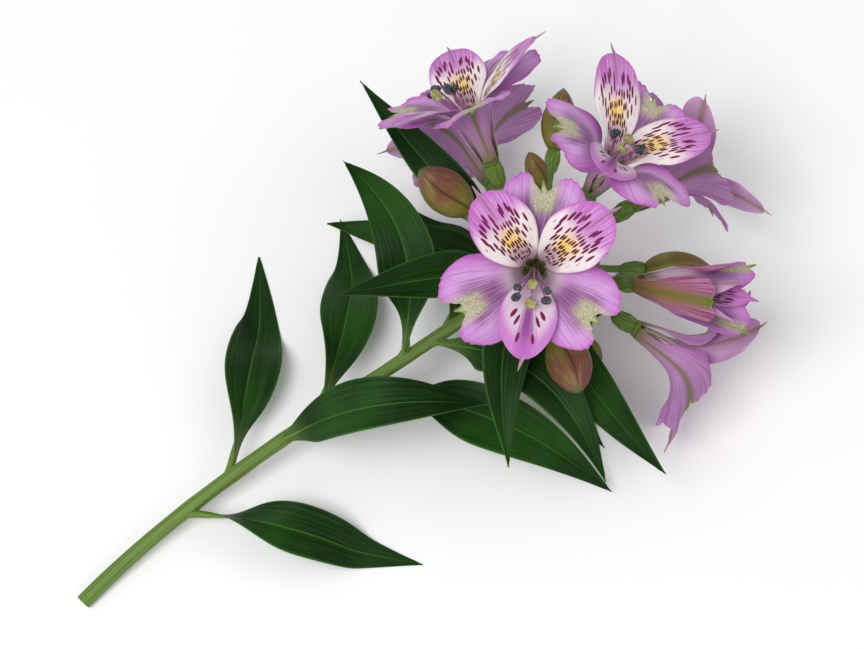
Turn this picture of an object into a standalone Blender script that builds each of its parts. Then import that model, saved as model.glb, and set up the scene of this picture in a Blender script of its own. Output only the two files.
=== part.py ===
"""One cut stem of alstroemeria, lying on a surface, with its leaves and its umbel of lilac blooms and buds.

The stem lies along +X with its cut end at -X, and the surface is z = 0. Lengths are real sizes.
"""

import math
import random
from types import SimpleNamespace

import bmesh
import bpy
from mathutils import Matrix, Vector

MM = 0.001
UP = Vector((0, 0, 1))

# The stem, from its cut end to the crown where the rays of the umbel meet
STEM_REACH = 190 * MM
CUT_RADIUS = 2.7 * MM
CUT_LIFT = 0.9 * CUT_RADIUS
TOP_RADIUS = 2.1 * MM
CROWN_RADIUS = 3.5 * MM
CROWN_HEIGHT = 40 * MM
CROWN_RISE = math.radians(13)
CROWN_OUTLINE = ((-5 * MM, 0.55), (-1.5 * MM, 1), (2 * MM, 1), (4.5 * MM, 0.6))
STEM_SWAY = 36 * MM
STEM_SIDES = 12
STEM_RINGS = 10

# The rays, and the ribbed ovary at the end of each
RAY_RADIUS = 1.15 * MM
RAY_LEAVES_AT = 0.6
RAY_SIDES = 6
RAY_RINGS = 5
OVARY_LENGTH = 9 * MM
OVARY_RADIUS = 3.2 * MM
OVARY_RIB = 0.1
OVARY_SIDES = 12
# An ovary's outline, and a bud's: places along it, each with its share of the full radius
OVARY_OUTLINE = ((-0.04, 0.4), (0.3, 0.95), (0.66, 1.0), (1.0, 0.9))
BUD_OUTLINE = ((0, 0.34), (0.12, 0.66), (0.3, 0.94), (0.52, 1.0), (0.74, 0.76), (0.91, 0.36), (1, 0.1))
BUD_RIB = 0.045
BUD_OVARY = 0.85
SIDE_BUD_SIDES = 8

# Blade thicknesses, and the gap that neighbouring pieces keep
TEPAL_THICK = 0.62 * MM
LEAF_THICK = 0.7 * MM
GAP = 0.3 * MM
BUD_GAP = 0.5 * MM

# The bases that the tepals of each whorl grow from: low end, high end and radius
OUTER_FOOT = (0, 1.6 * MM, 3.5 * MM)
INNER_FOOT = (1.95 * MM, 2.9 * MM, 2.3 * MM)

# Stamens and style
STAMEN_FOOT = (3.3 * MM, 4.2 * MM, 1.1 * MM)
STAMEN_RING = 0.65 * MM
STAMEN_SPREAD = (4.8 * MM, 2.4 * MM)
STAMENS = 6
FILAMENT_RADIUS = 0.42 * MM
ANTHER_LENGTH = 3.4 * MM
ANTHER_RADIUS = 1.0 * MM
STAMEN_REACH = 28 * MM
STAMEN_DROP = 9.4 * MM
STYLE_SHORTER = 2 * MM

# How finely a blade is divided: rows from its foot to its tip, each with places across one half of its width
OUTER_ROWS = (
    (0, (1,)), (0.2, (1,)), (0.37, (0.5, 1)), (0.54, (0.32, 0.7, 1)),
    (0.72, (0.25, 0.52, 0.8, 1)), (0.88, (0.25, 0.52, 0.8, 1)), (1, (0.25, 0.52, 0.8, 1)),
)
INNER_ROWS = (
    (0, (1,)), (0.25, (1,)), (0.45, (0.5, 1)),
    (0.64, (0.2, 0.62, 1)), (0.83, (0.16, 0.6, 1)), (1, (0.14, 0.6, 1)),
)
LEAF_ROWS = (
    (0, (1,)), (0.1, (1,)), (0.23, (0.5, 1)), (0.38, (0.5, 1)),
    (0.54, (0.5, 1)), (0.7, (0.5, 1)), (0.86, (1,)), (1, (1,)),
)
BRACT_ROWS = ((0, (1,)), (0.2, (1,)), (0.45, (1,)), (0.72, (1,)), (1, (1,)))

# The three kinds of tepal of an open bloom, and the two of a half-open one.
# Laid flat: its length, the half widths of the claw and the blade, the share of the length where the blade
# starts, and the outline of its end. Standing: the foot's radius and height, where the throat ends and the
# flare is reached, the midrib's angle from the bloom's axis in the throat, in the flare and at the tip, how
# the blade cups, and how its margin curls and waves.
OUTER = SimpleNamespace(
    length=45 * MM, claw=2.7 * MM, half=14.4 * MM, neck=0.2,
    shoulder=0.68, arch=(2.4, 0.5), notch=3.2 * MM, awn=2.6 * MM,
    base=3.1 * MM, start=1.0 * MM, throat=12 * MM, flared=31 * MM, lean=(13, 74, 84),
    cup=-6, wrap=0, curl=1.0 * MM, ruffle=1.1 * MM, rows=OUTER_ROWS,
)
INNER_UPPER = SimpleNamespace(
    length=46 * MM, claw=1.15 * MM, half=10.0 * MM, neck=0.38,
    shoulder=0.68, arch=(2.2, 0.5), notch=0, awn=4.2 * MM,
    base=2.0 * MM, start=2.2 * MM, throat=10 * MM, flared=27 * MM, lean=(8, 56, 66),
    cup=14, wrap=0, curl=0.8 * MM, ruffle=0.4 * MM, rows=INNER_ROWS,
)
INNER_LOWER = SimpleNamespace(
    length=44 * MM, claw=1.15 * MM, half=9.4 * MM, neck=0.34,
    shoulder=0.64, arch=(1.6, 0.62), notch=0, awn=4.2 * MM,
    base=2.0 * MM, start=2.2 * MM, throat=11 * MM, flared=28 * MM, lean=(10, 64, 76),
    cup=22, wrap=0, curl=0.5 * MM, ruffle=0.3 * MM, rows=INNER_ROWS,
)
HALF_OUTER = SimpleNamespace(
    length=41 * MM, claw=2.7 * MM, half=8.3 * MM, neck=0.2,
    shoulder=0.74, arch=(2.2, 0.5), notch=1.5 * MM, awn=2.4 * MM,
    base=3.1 * MM, start=1.0 * MM, throat=11 * MM, flared=18 * MM, lean=(18, 5, 22),
    cup=0, wrap=1, curl=-1.0 * MM, ruffle=0.5 * MM, rows=INNER_ROWS,
)
HALF_INNER = SimpleNamespace(
    length=40 * MM, claw=1.15 * MM, half=4.6 * MM, neck=0.2,
    shoulder=0.66, arch=(2.0, 0.5), notch=0, awn=3.0 * MM,
    base=2.0 * MM, start=2.2 * MM, throat=12 * MM, flared=20 * MM, lean=(9, 3, 10),
    cup=0, wrap=1, curl=0, ruffle=0.2 * MM, rows=INNER_ROWS,
)

# Each open bloom: where its ray points, as degrees from the stem and round it, and its turn about its axis
BLOOMS = {
    "bloom_a": SimpleNamespace(lean=94, round=-18, reach=30 * MM, roll=46, seed=11),
    "bloom_b": SimpleNamespace(lean=47, round=0, reach=32 * MM, roll=24, seed=12),
    "bloom_c": SimpleNamespace(lean=6, round=-150, reach=31 * MM, roll=30, seed=13),
    "bloom_d": SimpleNamespace(lean=80, round=106, reach=31 * MM, roll=10, seed=14),
    "bloom_e": SimpleNamespace(lean=68, round=-110, reach=31 * MM, roll=0, seed=19),
    "bloom_f": SimpleNamespace(lean=78, round=50, reach=32 * MM, roll=30, seed=17),
}
HALF_BLOOM = SimpleNamespace(lean=60, round=-58, reach=34 * MM, roll=15, seed=21)

# Buds on rays of their own: where the ray points, its length, and the bud's length and radius
BUDS = {
    "bud_1": SimpleNamespace(lean=104, round=-58, reach=38 * MM, length=26 * MM, radius=7.4 * MM),
    "bud_2": SimpleNamespace(lean=102, round=34, reach=38 * MM, length=25 * MM, radius=7.2 * MM),
    "bud_3": SimpleNamespace(lean=38, round=-112, reach=38 * MM, length=24 * MM, radius=6.6 * MM),
    "bud_4": SimpleNamespace(lean=44, round=82, reach=42 * MM, length=22 * MM, radius=6.0 * MM),
}
# Small buds on forks of the rays: the bloom whose ray forks, the fork's turn about it, and the bud's size
SIDE_BUDS = {
    "bud_5": SimpleNamespace(ray="bloom_a", turn=150, reach=20 * MM, length=13 * MM, radius=3.6 * MM),
    "bud_6": SimpleNamespace(ray="bloom_b", turn=-60, reach=20 * MM, length=14 * MM, radius=3.8 * MM),
    "bud_7": SimpleNamespace(ray="bloom_d", turn=20, reach=18 * MM, length=12 * MM, radius=3.4 * MM),
    "bud_8": SimpleNamespace(ray="bloom_e", turn=170, reach=18 * MM, length=12 * MM, radius=3.4 * MM),
}

# Leaves of the whorl below the umbel: lean from the stem, place round it, length, half width, and the tip's
# heading and pitch
COLLAR = {
    "collar_1": (128, -34, 78, 8.8, -116, -26),
    "collar_2": (124, 10, 72, 8.4, 160, 6),
    "collar_3": (100, 74, 84, 8.2, 96, 24),
    "collar_4": (118, 112, 76, 8.4, 130, -6),
    "collar_5": (110, 150, 60, 7.6, 46, -30),
    "collar_6": (100, -168, 56, 7.0, -18, -26),
    "collar_7": (116, -126, 68, 8.0, -84, -34),
    "collar_8": (98, -86, 82, 8.2, -86, 4),
}
COLLAR_BELOW = (2 * MM, 6 * MM)
# Leaves of the stem: share of its length, place round it, angle off it, length, half width, and the tip's
# heading and pitch
LEAVES = {
    "leaf_1": (0.26, -84, 48, 84, 9.4, -46, -66),
    "leaf_2": (0.36, 92, 48, 90, 10.0, 60, -74),
    "leaf_3": (0.46, -22, 50, 84, 9.8, -28, -30),
    "leaf_4": (0.55, 104, 46, 88, 10.2, 70, -60),
    "leaf_5": (0.64, -96, 44, 92, 10.6, -66, -28),
    "leaf_6": (0.72, 36, 52, 78, 10.0, 96, -14),
    "leaf_7": (0.78, -60, 52, 84, 9.8, -100, -24),
    "leaf_8": (0.82, 128, 56, 72, 9.4, 100, -40),
}
# How far a leaf's two halves fold up from its midrib, its widest place, and its half widths at foot and tip
FOLD = 0.3
LEAF_WIDEST = 0.42
LEAF_FOOT = 1.5 * MM
LEAF_TIP = 0.3 * MM
BRACT_LENGTH = 24 * MM
BRACT_HALF = 2.6 * MM
BRACT_ANGLE = 72
BRACT_BELOW = 3.5 * MM
FORK_ANGLE = 44
FORK_SWELL = (0.9, 0.8, 0.8, 1.3)


def clear_scene():
    for obj in list(bpy.data.objects):
        bpy.data.objects.remove(obj)


def finish(name, colour, roughness):
    """A plain plant surface of one colour."""
    material = bpy.data.materials.new(name)
    material.use_nodes = True
    shader = material.node_tree.nodes["Principled BSDF"]
    shader.inputs["Base Color"].default_value = (*colour, 1)
    shader.inputs["Roughness"].default_value = roughness
    shader.inputs["Metallic"].default_value = 0
    return material


def blend(low, high, x):
    """0 below low, 1 above high, and a smooth rise between."""
    x = min(1.0, max(0.0, (x - low) / (high - low)))
    return x * x * (3 - 2 * x)


def hermite(start, start_pull, end, end_pull, share):
    """A point on the smooth curve that leaves start along start_pull and reaches end along end_pull."""
    a, b, c = share, share**2, share**3
    leaving = (2 * c - 3 * b + 1) * start + (c - 2 * b + a) * start_pull
    return leaving + (3 * b - 2 * c) * end + (c - b) * end_pull


def steps(count):
    return [i / count for i in range(count + 1)]


def mirrored(shares):
    """The places across a blade: the given shares of its half width on both sides, and its midrib."""
    return [-s for s in reversed(shares)] + [0.0] + list(shares)


def frames(points):
    """A tangent and a side for each point of a curve, turned as little as possible from one to the next."""
    found = []
    side = None
    for i in range(len(points)):
        tangent = (points[min(i + 1, len(points) - 1)] - points[max(i - 1, 0)]).normalized()
        if side is None:
            side = tangent.orthogonal().normalized()
        side = (side - side.dot(tangent) * tangent).normalized()
        found.append((tangent, side))
    return found


def mesh_object(name, bm, material):
    mesh = bpy.data.meshes.new(name)
    bm.to_mesh(mesh)
    bm.free()
    obj = bpy.data.objects.new(name, mesh)
    bpy.context.scene.collection.objects.link(obj)
    mesh.materials.append(material)
    mesh.shade_smooth()
    mesh.set_sharp_from_angle(angle=math.radians(50))
    return obj


def tube(name, points, radii, sides, material, rib=0.0):
    """A closed tube through the points, with a radius at each. rib raises every other corner by a share."""
    bm = bmesh.new()
    rings = []
    for point, radius, (tangent, side) in zip(points, radii, frames(points)):
        other = tangent.cross(side)
        ring = []
        for k in range(sides):
            angle = 2 * math.pi * k / sides
            reach = radius * (1 + rib * (-1) ** k)
            ring.append(bm.verts.new(point + reach * (math.cos(angle) * side + math.sin(angle) * other)))
        rings.append(ring)
    for low, high in zip(rings, rings[1:]):
        for k in range(sides):
            bm.faces.new((low[k], low[(k + 1) % sides], high[(k + 1) % sides], high[k]))
    bm.faces.new(list(reversed(rings[0])))
    bm.faces.new(rings[-1])
    return mesh_object(name, bm, material)


def stitch(bm, low, high):
    """Triangles between two rows of a blade. Each row is a list of places across it and their vertices."""
    i, j = 0, 0
    while i < len(low) - 1 or j < len(high) - 1:
        low_next = low[i + 1][0] if i < len(low) - 1 else math.inf
        high_next = high[j + 1][0] if j < len(high) - 1 else math.inf
        if high_next < low_next:
            bm.faces.new((low[i][1], high[j + 1][1], high[j][1]))
            j += 1
        else:
            bm.faces.new((low[i][1], low[i + 1][1], high[j][1]))
            i += 1


def blade(name, surface, rows, thick, material, place=Matrix.Identity(4)):
    """A thin closed blade about the surface, triangulated alike on both faces, and pressed on the floor.

    place carries the blade's own frame to the world, where the floor is z = 0.
    """
    bm = bmesh.new()
    home = place.inverted()

    def lifted(point, least, most=math.inf):
        world = place @ point
        height = min(max(world.z, least), most)
        return bm.verts.new(home @ Vector((world.x, world.y, height)))

    def faced(v, side):
        """A corner of one face, half the thickness off the middle. A pressed blade lies flat."""
        off = v.normal * side * thick / 2
        pressed = (place @ v.co).z < thick * 0.51
        if (place.to_3x3() @ off).z > 0:
            return lifted(v.co + off, thick)
        return lifted(v.co + off, 0, 0 if pressed else math.inf)

    grid = []
    for q, shares in rows:
        grid.append([(t, lifted(surface(q, t), thick / 2)) for t in mirrored(shares)])
    for low, high in zip(grid, grid[1:]):
        stitch(bm, low, high)
    bm.normal_update()
    middle = list(bm.verts)
    cells = list(bm.faces)
    rim = [edge for edge in bm.edges if edge.is_boundary]
    upper = {v: faced(v, 1) for v in middle}
    lower = {v: faced(v, -1) for v in middle}
    for edge in rim:
        first = edge.link_loops[0].vert
        second = edge.other_vert(first)
        bm.faces.new((lower[first], lower[second], upper[second]))
        bm.faces.new((lower[first], upper[second], upper[first]))
    for cell in cells:
        bm.faces.new([upper[v] for v in cell.verts])
        bm.faces.new([lower[v] for v in reversed(cell.verts)])
    bmesh.ops.delete(bm, geom=middle, context="VERTS")
    return mesh_object(name, bm, material)


def union(base, parts):
    """base and the parts, fused into one body."""
    group = bpy.data.collections.new(base.name + "_parts")
    bpy.context.scene.collection.children.link(group)
    for part in parts:
        group.objects.link(part)
        bpy.context.scene.collection.objects.unlink(part)
    fuse = base.modifiers.new("union", "BOOLEAN")
    fuse.operation = "UNION"
    fuse.operand_type = "COLLECTION"
    fuse.collection = group
    graph = bpy.context.evaluated_depsgraph_get()
    fused = bpy.data.meshes.new_from_object(base.evaluated_get(graph))
    base.modifiers.clear()
    base.data = fused
    for part in list(group.objects):
        bpy.data.objects.remove(part)
    bpy.data.collections.remove(group)
    return base


class Tepal:
    """One tepal as a surface: q runs from the claw to the margin, and t from side to side.

    The bloom's axis is Z and its upper side is Y. azimuth is the tepal's place round the axis.
    """

    def __init__(self, shape, azimuth, draw, twist=0.0):
        self.shape = shape
        angle = math.radians(azimuth + draw.uniform(-3, 3))
        self.outward = Vector((math.cos(angle), math.sin(angle), 0))
        self.beside = UP.cross(self.outward)
        self.lean = [math.radians(degrees * draw.uniform(0.96, 1.04)) for degrees in shape.lean]
        self.twist = math.radians(twist + draw.uniform(-4, 4))
        self.size = draw.uniform(0.97, 1.03)
        self.phase = draw.uniform(0, 2 * math.pi)
        self.waves = draw.uniform(2.2, 3.2)
        self.step = shape.length / 60
        self.midrib = self.trace()

    def trace(self):
        """The midrib's radius and height at each step of its length."""
        radius, height = self.shape.base, self.shape.start
        found = []
        for i in range(76):
            found.append((radius, height))
            lean = self.lean_at(i * self.step)
            radius += math.sin(lean) * self.step
            height += math.cos(lean) * self.step
        return found

    def lean_at(self, along):
        """The midrib's angle from the bloom's axis."""
        in_tube, in_flare, at_tip = self.lean
        lean = in_tube + (in_flare - in_tube) * blend(self.shape.throat, self.shape.flared, along)
        return lean + (at_tip - in_flare) * blend(self.shape.flared, self.shape.length, along)

    def rib_at(self, along):
        place = min(max(along / self.step, 0), len(self.midrib) - 1.001)
        i = int(place)
        (r0, z0), (r1, z1) = self.midrib[i], self.midrib[i + 1]
        return r0 + (r1 - r0) * (place - i), z0 + (z1 - z0) * (place - i)

    def laid_flat(self, q, t):
        """The distance from the midrib, and along it, on the tepal laid flat."""
        shape = self.shape
        half = shape.claw + (shape.half * self.size - shape.claw) * blend(shape.neck, 1.0, q)
        power, root = shape.arch
        arc = max(0.0, 1 - abs(t) ** power) ** root
        end = shape.length * self.size * (shape.shoulder + (1 - shape.shoulder) * arc)
        tip = shape.awn * math.exp(-((t / 0.09) ** 2)) - shape.notch * math.exp(-((t / 0.3) ** 2))
        return t * half, q * end + tip * q**6

    def point(self, q, t):
        shape = self.shape
        across, along = self.laid_flat(q, t)
        radius, height = self.rib_at(along)
        lean = self.lean_at(along)
        rounded = 1 - (1 - shape.wrap) * blend(0.3, 0.62, along / shape.length)
        bend = rounded / radius + (1 - rounded) * shape.cup + 1e-6
        beside = math.sin(bend * across) / bend
        inward = (1 - math.cos(bend * across)) / bend
        wave = math.sin(self.waves * math.pi * t + self.phase) * abs(t) ** 1.5
        inward += shape.ruffle * wave * blend(0.45, 1.0, q) - shape.curl * blend(0.75, 1.0, q)
        turn = self.twist * blend(0.3, 0.9, q)
        turned = beside * math.cos(turn) - inward * math.sin(turn)
        raised = beside * math.sin(turn) + inward * math.cos(turn)
        inner_side = math.sin(lean) * UP - math.cos(lean) * self.outward
        return self.outward * radius + UP * height + self.beside * turned + inner_side * raised


def whorl(name, tepals, foot, material, place):
    """Tepals fused at their claws. foot is the base that they share: its low end, high end and radius."""
    low, high, radius = foot
    base = tube(name, [UP * low, UP * high], [radius, radius], 8, material)
    parts = []
    for i, tepal in enumerate(tepals):
        parts.append(blade(f"{name}_{i}", tepal.point, tepal.shape.rows, TEPAL_THICK, material, place))
    union(base, parts)
    base.matrix_world = place
    return base


def stamens(name, seed, material, place):
    """Six curved filaments with their anthers, and the style, fused at their foot."""
    draw = random.Random(seed)
    low, high, radius = STAMEN_FOOT
    base = tube(name, [UP * low, UP * high], [radius, radius], 6, material)
    parts = []
    for i in range(STAMENS + 1):
        is_style = i == STAMENS
        angle = 2 * math.pi * i / STAMENS
        turn = Vector((math.cos(angle), math.sin(angle), 0)) * (not is_style)
        start = UP * (low + high) / 2 + turn * STAMEN_RING
        spread = Vector((turn.x * STAMEN_SPREAD[0], turn.y * STAMEN_SPREAD[1] - STAMEN_DROP, 0))
        reach = STAMEN_REACH + draw.uniform(-1.5, 2.0) * MM - STYLE_SHORTER * is_style
        path = [start + UP * reach * s + spread * s**2 for s in steps(3)]
        parts.append(tube(f"{name}_filament_{i}", path, [FILAMENT_RADIUS] * 4, 3, material))
        if is_style:
            continue
        tilt = Vector((draw.uniform(-0.6, 0.6), draw.uniform(-0.9, 0.2), 0.8)).normalized()
        spine = [path[-1] + tilt * ANTHER_LENGTH * share for share in (-0.5, 0, 0.5)]
        radii = [ANTHER_RADIUS * swell for swell in (0.5, 1, 0.5)]
        parts.append(tube(f"{name}_anther_{i}", spine, radii, 4, material))
    union(base, parts)
    base.matrix_world = place
    return base


def crown_point():
    return Vector((STEM_REACH, 0, CROWN_HEIGHT))


def stem_point(share):
    """A point on the main stem, and its direction there."""
    start = Vector((0, 0, CUT_LIFT))
    start_pull = Vector((STEM_REACH, STEM_SWAY, STEM_REACH * 0.15))

    def at(s):
        return hermite(start, start_pull, crown_point(), STEM_ALONG * STEM_REACH, s)

    return at(share), (at(share + 0.01) - at(share - 0.01)).normalized()


STEM_ALONG = Vector((math.cos(CROWN_RISE), 0, math.sin(CROWN_RISE)))
STEM_ABOVE = Vector((-math.sin(CROWN_RISE), 0, math.cos(CROWN_RISE)))
STEM_BESIDE = Vector((0, 1, 0))


def direction(lean, round_stem):
    """The way that makes an angle of lean with the stem's end, at a place round it from its upper side."""
    a, b = math.radians(lean), math.radians(round_stem)
    across = math.cos(b) * STEM_ABOVE + math.sin(b) * STEM_BESIDE
    return math.cos(a) * STEM_ALONG + math.sin(a) * across


def stem_radius(share):
    return CUT_RADIUS + (TOP_RADIUS - CUT_RADIUS) * share


def main_stem(material):
    spine = [stem_point(s)[0] for s in steps(STEM_RINGS)]
    radii = [stem_radius(s) for s in steps(STEM_RINGS)]
    return tube("stem", spine, radii, STEM_SIDES, material)


def crown(material):
    """The swollen end of the stem, where the rays meet."""
    spine = [crown_point() + STEM_ALONG * along for along, _ in CROWN_OUTLINE]
    return tube("crown", spine, [CROWN_RADIUS * swell for _, swell in CROWN_OUTLINE], STEM_SIDES, material)


class Ray:
    """One ray of the umbel, from the crown to the top of its ovary."""

    def __init__(self, lean, round_stem, reach):
        start = crown_point()
        self.axis = direction(lean, round_stem)
        self.foot = start + self.axis * reach
        leaving = direction(lean * RAY_LEAVES_AT, round_stem) * reach
        self.path = [hermite(start, leaving, self.foot, self.axis * reach, s) for s in steps(RAY_RINGS)]
        self.top = self.foot + self.axis * OVARY_LENGTH

    def parts(self, name, material, size=1.0):
        """The ray and its ovary. size is the ovary's share of full size."""
        spine = [self.foot + self.axis * OVARY_LENGTH * s for s, _ in OVARY_OUTLINE]
        radii = [OVARY_RADIUS * size * swell for _, swell in OVARY_OUTLINE]
        ovary = tube(f"{name}_ovary", spine, radii, OVARY_SIDES, material, OVARY_RIB)
        ray = tube(f"{name}_ray", self.path, [RAY_RADIUS] * len(self.path), RAY_SIDES, material)
        return [ray, ovary]


class Fork:
    """A side ray that leaves another at its middle, and carries a small bud."""

    def __init__(self, ray, turn, reach):
        middle = len(ray.path) // 2
        self.start = ray.path[middle]
        self.along = (ray.path[middle + 1] - ray.path[middle - 1]).normalized()
        across = self.along.cross(STEM_BESIDE).normalized()
        self.side = Matrix.Rotation(math.radians(turn), 3, self.along) @ across
        self.axis = self.way(FORK_ANGLE)
        end = self.start + self.axis * reach
        self.path = [hermite(self.start, self.along * reach, end, self.axis * reach, s) for s in steps(3)]

    def way(self, degrees):
        a = math.radians(degrees)
        return math.cos(a) * self.along + math.sin(a) * self.side


def flower_place(top, axis, roll):
    """The frame of a bloom: its origin on the ovary, its axis Z, and its upper side Y."""
    upper = (STEM_ALONG - STEM_ALONG.dot(axis) * axis).normalized()
    if STEM_ALONG.dot(axis) > 0.98:
        upper = (STEM_ABOVE - STEM_ABOVE.dot(axis) * axis).normalized()
    upper = Matrix.Rotation(math.radians(roll), 3, axis) @ upper
    turn = Matrix((upper.cross(axis), upper, axis)).transposed().to_4x4()
    return Matrix.Translation(top) @ turn


def bud(name, start, axis, row, material, sides=OVARY_SIDES):
    """A closed bud: an egg shape with the ribs of its folded outer tepals, and a short tip."""
    start = start + axis * BUD_GAP
    spine = [start + axis * row.length * s for s, _ in BUD_OUTLINE]
    radii = [row.radius * swell for _, swell in BUD_OUTLINE]
    return tube(name, spine, radii, sides, material, BUD_RIB if sides == OVARY_SIDES else 0)


class Leaf:
    """A lance-shaped leaf as a surface: q runs from its foot to its tip, and t from side to side."""

    def __init__(self, foot, start_way, facing, tip_way, length, half, draw):
        self.half = half
        self.wave = draw.uniform(0.05, 0.1) * half
        self.phase = draw.uniform(0, 2 * math.pi)
        self.count = 40
        step = length / self.count
        turned_up = (UP + Vector((draw.uniform(-0.35, 0.35), draw.uniform(-0.35, 0.35), 0))).normalized()
        facing = facing * math.copysign(1, facing.z)
        point = foot.copy()
        self.spine = []
        for i in range(self.count + 1):
            q = i / self.count
            way = start_way.lerp(tip_way, blend(0, 1, q)).normalized()
            if point.z < LEAF_THICK - FOLD * half * 0.8 and way.z < 0:
                way.z = 0
                way.normalize()
            face = facing.lerp(turned_up, blend(0, 0.4, q))
            side = face.cross(way).normalized()
            self.spine.append((point.copy(), side, way.cross(side)))
            point += way * step

    def half_at(self, q):
        rise = math.sin(min(q / LEAF_WIDEST, 1) * math.pi / 2) ** 1.4
        fall = max(0, 1 - max(0, (q - LEAF_WIDEST) / (1 - LEAF_WIDEST)) ** 1.8) ** 1.25
        petiole = LEAF_TIP + (LEAF_FOOT - LEAF_TIP) * (1 - blend(0, 0.3, q))
        return petiole + (self.half - LEAF_TIP) * rise * fall

    def point(self, q, t):
        place = min(q * self.count, self.count - 0.001)
        i = int(place)
        share = place - i
        (p0, s0, n0), (p1, s1, n1) = self.spine[i], self.spine[i + 1]
        half = self.half_at(q)
        spread = blend(0.05, 0.3, q)
        wave = self.wave * abs(t) * math.sin(9 * q + 2 * t + self.phase)
        lift = (FOLD * abs(t) * half + wave) * spread
        return p0.lerp(p1, share) + s0.lerp(s1, share) * t * half + n0.lerp(n1, share) * lift


def heading(degrees, pitch):
    a, p = math.radians(degrees), math.radians(pitch)
    return Vector((math.cos(a) * math.cos(p), math.sin(a) * math.cos(p), math.sin(p)))


def stem_leaf(name, row, material, draw):
    share, round_stem, spread, length, half, tip, pitch = row
    point, along = stem_point(share)
    above = (UP - UP.dot(along) * along).normalized()
    b = math.radians(round_stem)
    off = math.cos(b) * above + math.sin(b) * along.cross(above) * -1
    a = math.radians(spread)
    way = math.cos(a) * along + math.sin(a) * off
    facing = math.sin(a) * along - math.cos(a) * off
    foot = point + off * (stem_radius(share) + GAP + LEAF_THICK)
    leaf = Leaf(foot, way, facing, heading(tip, pitch), length * MM, half * MM, draw)
    return blade(name, leaf.point, LEAF_ROWS, LEAF_THICK, material)


def collar_leaf(name, row, below, material, draw):
    lean, round_stem, length, half, tip, pitch = row
    way = direction(lean, round_stem)
    off = direction(90, round_stem)
    facing = (STEM_ALONG - STEM_ALONG.dot(way) * way).normalized()
    foot = crown_point() - STEM_ALONG * below + off * (CROWN_RADIUS + GAP + LEAF_THICK)
    leaf = Leaf(foot, way, facing, heading(tip, pitch), length * MM, half * MM, draw)
    return blade(name, leaf.point, LEAF_ROWS, LEAF_THICK, material)


def bract(name, split, material, draw):
    """A small pointed leaf just below a fork, with the side ray between it and the ray."""
    foot = split.start - split.along * BRACT_BELOW + split.side * (RAY_RADIUS + GAP + LEAF_THICK)
    way = split.way(BRACT_ANGLE)
    facing = (split.along - split.along.dot(way) * way).normalized()
    leaf = Leaf(foot, way, facing, split.way(BRACT_ANGLE - 10), BRACT_LENGTH, BRACT_HALF, draw)
    return blade(name, leaf.point, BRACT_ROWS, LEAF_THICK, material)


def open_bloom(name, bloom, top, materials, pieces):
    draw = random.Random(bloom.seed)
    axis = direction(bloom.lean, bloom.round)
    place = flower_place(top + axis * GAP, axis, bloom.roll)
    outer = [Tepal(OUTER, azimuth, draw) for azimuth in (90, 215, 325)]
    inner = [
        Tepal(INNER_UPPER, 135, draw, 4),
        Tepal(INNER_UPPER, 45, draw, -4),
        Tepal(INNER_LOWER, 270, draw),
    ]
    pieces.append(whorl(f"{name}_outer", outer, OUTER_FOOT, materials.outer, place))
    pieces.append(whorl(f"{name}_inner", inner, INNER_FOOT, materials.inner, place))
    pieces.append(stamens(f"{name}_stamens", bloom.seed, materials.stamens, place))


def half_bloom(name, bloom, top, materials, pieces):
    draw = random.Random(bloom.seed)
    axis = direction(bloom.lean, bloom.round)
    place = flower_place(top + axis * GAP, axis, bloom.roll)
    outer = [Tepal(HALF_OUTER, azimuth, draw) for azimuth in (90, 210, 330)]
    inner = [Tepal(HALF_INNER, azimuth, draw) for azimuth in (150, 30, 270)]
    pieces.append(whorl(f"{name}_outer", outer, OUTER_FOOT, materials.outer, place))
    pieces.append(whorl(f"{name}_inner", inner, INNER_FOOT, materials.inner, place))


def bottom_centre(objects):
    bpy.context.view_layer.update()
    corners = [obj.matrix_world @ v.co for obj in objects for v in obj.data.vertices]
    xs = [c.x for c in corners]
    ys = [c.y for c in corners]
    return Vector(((min(xs) + max(xs)) / 2, (min(ys) + max(ys)) / 2, 0))


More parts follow.
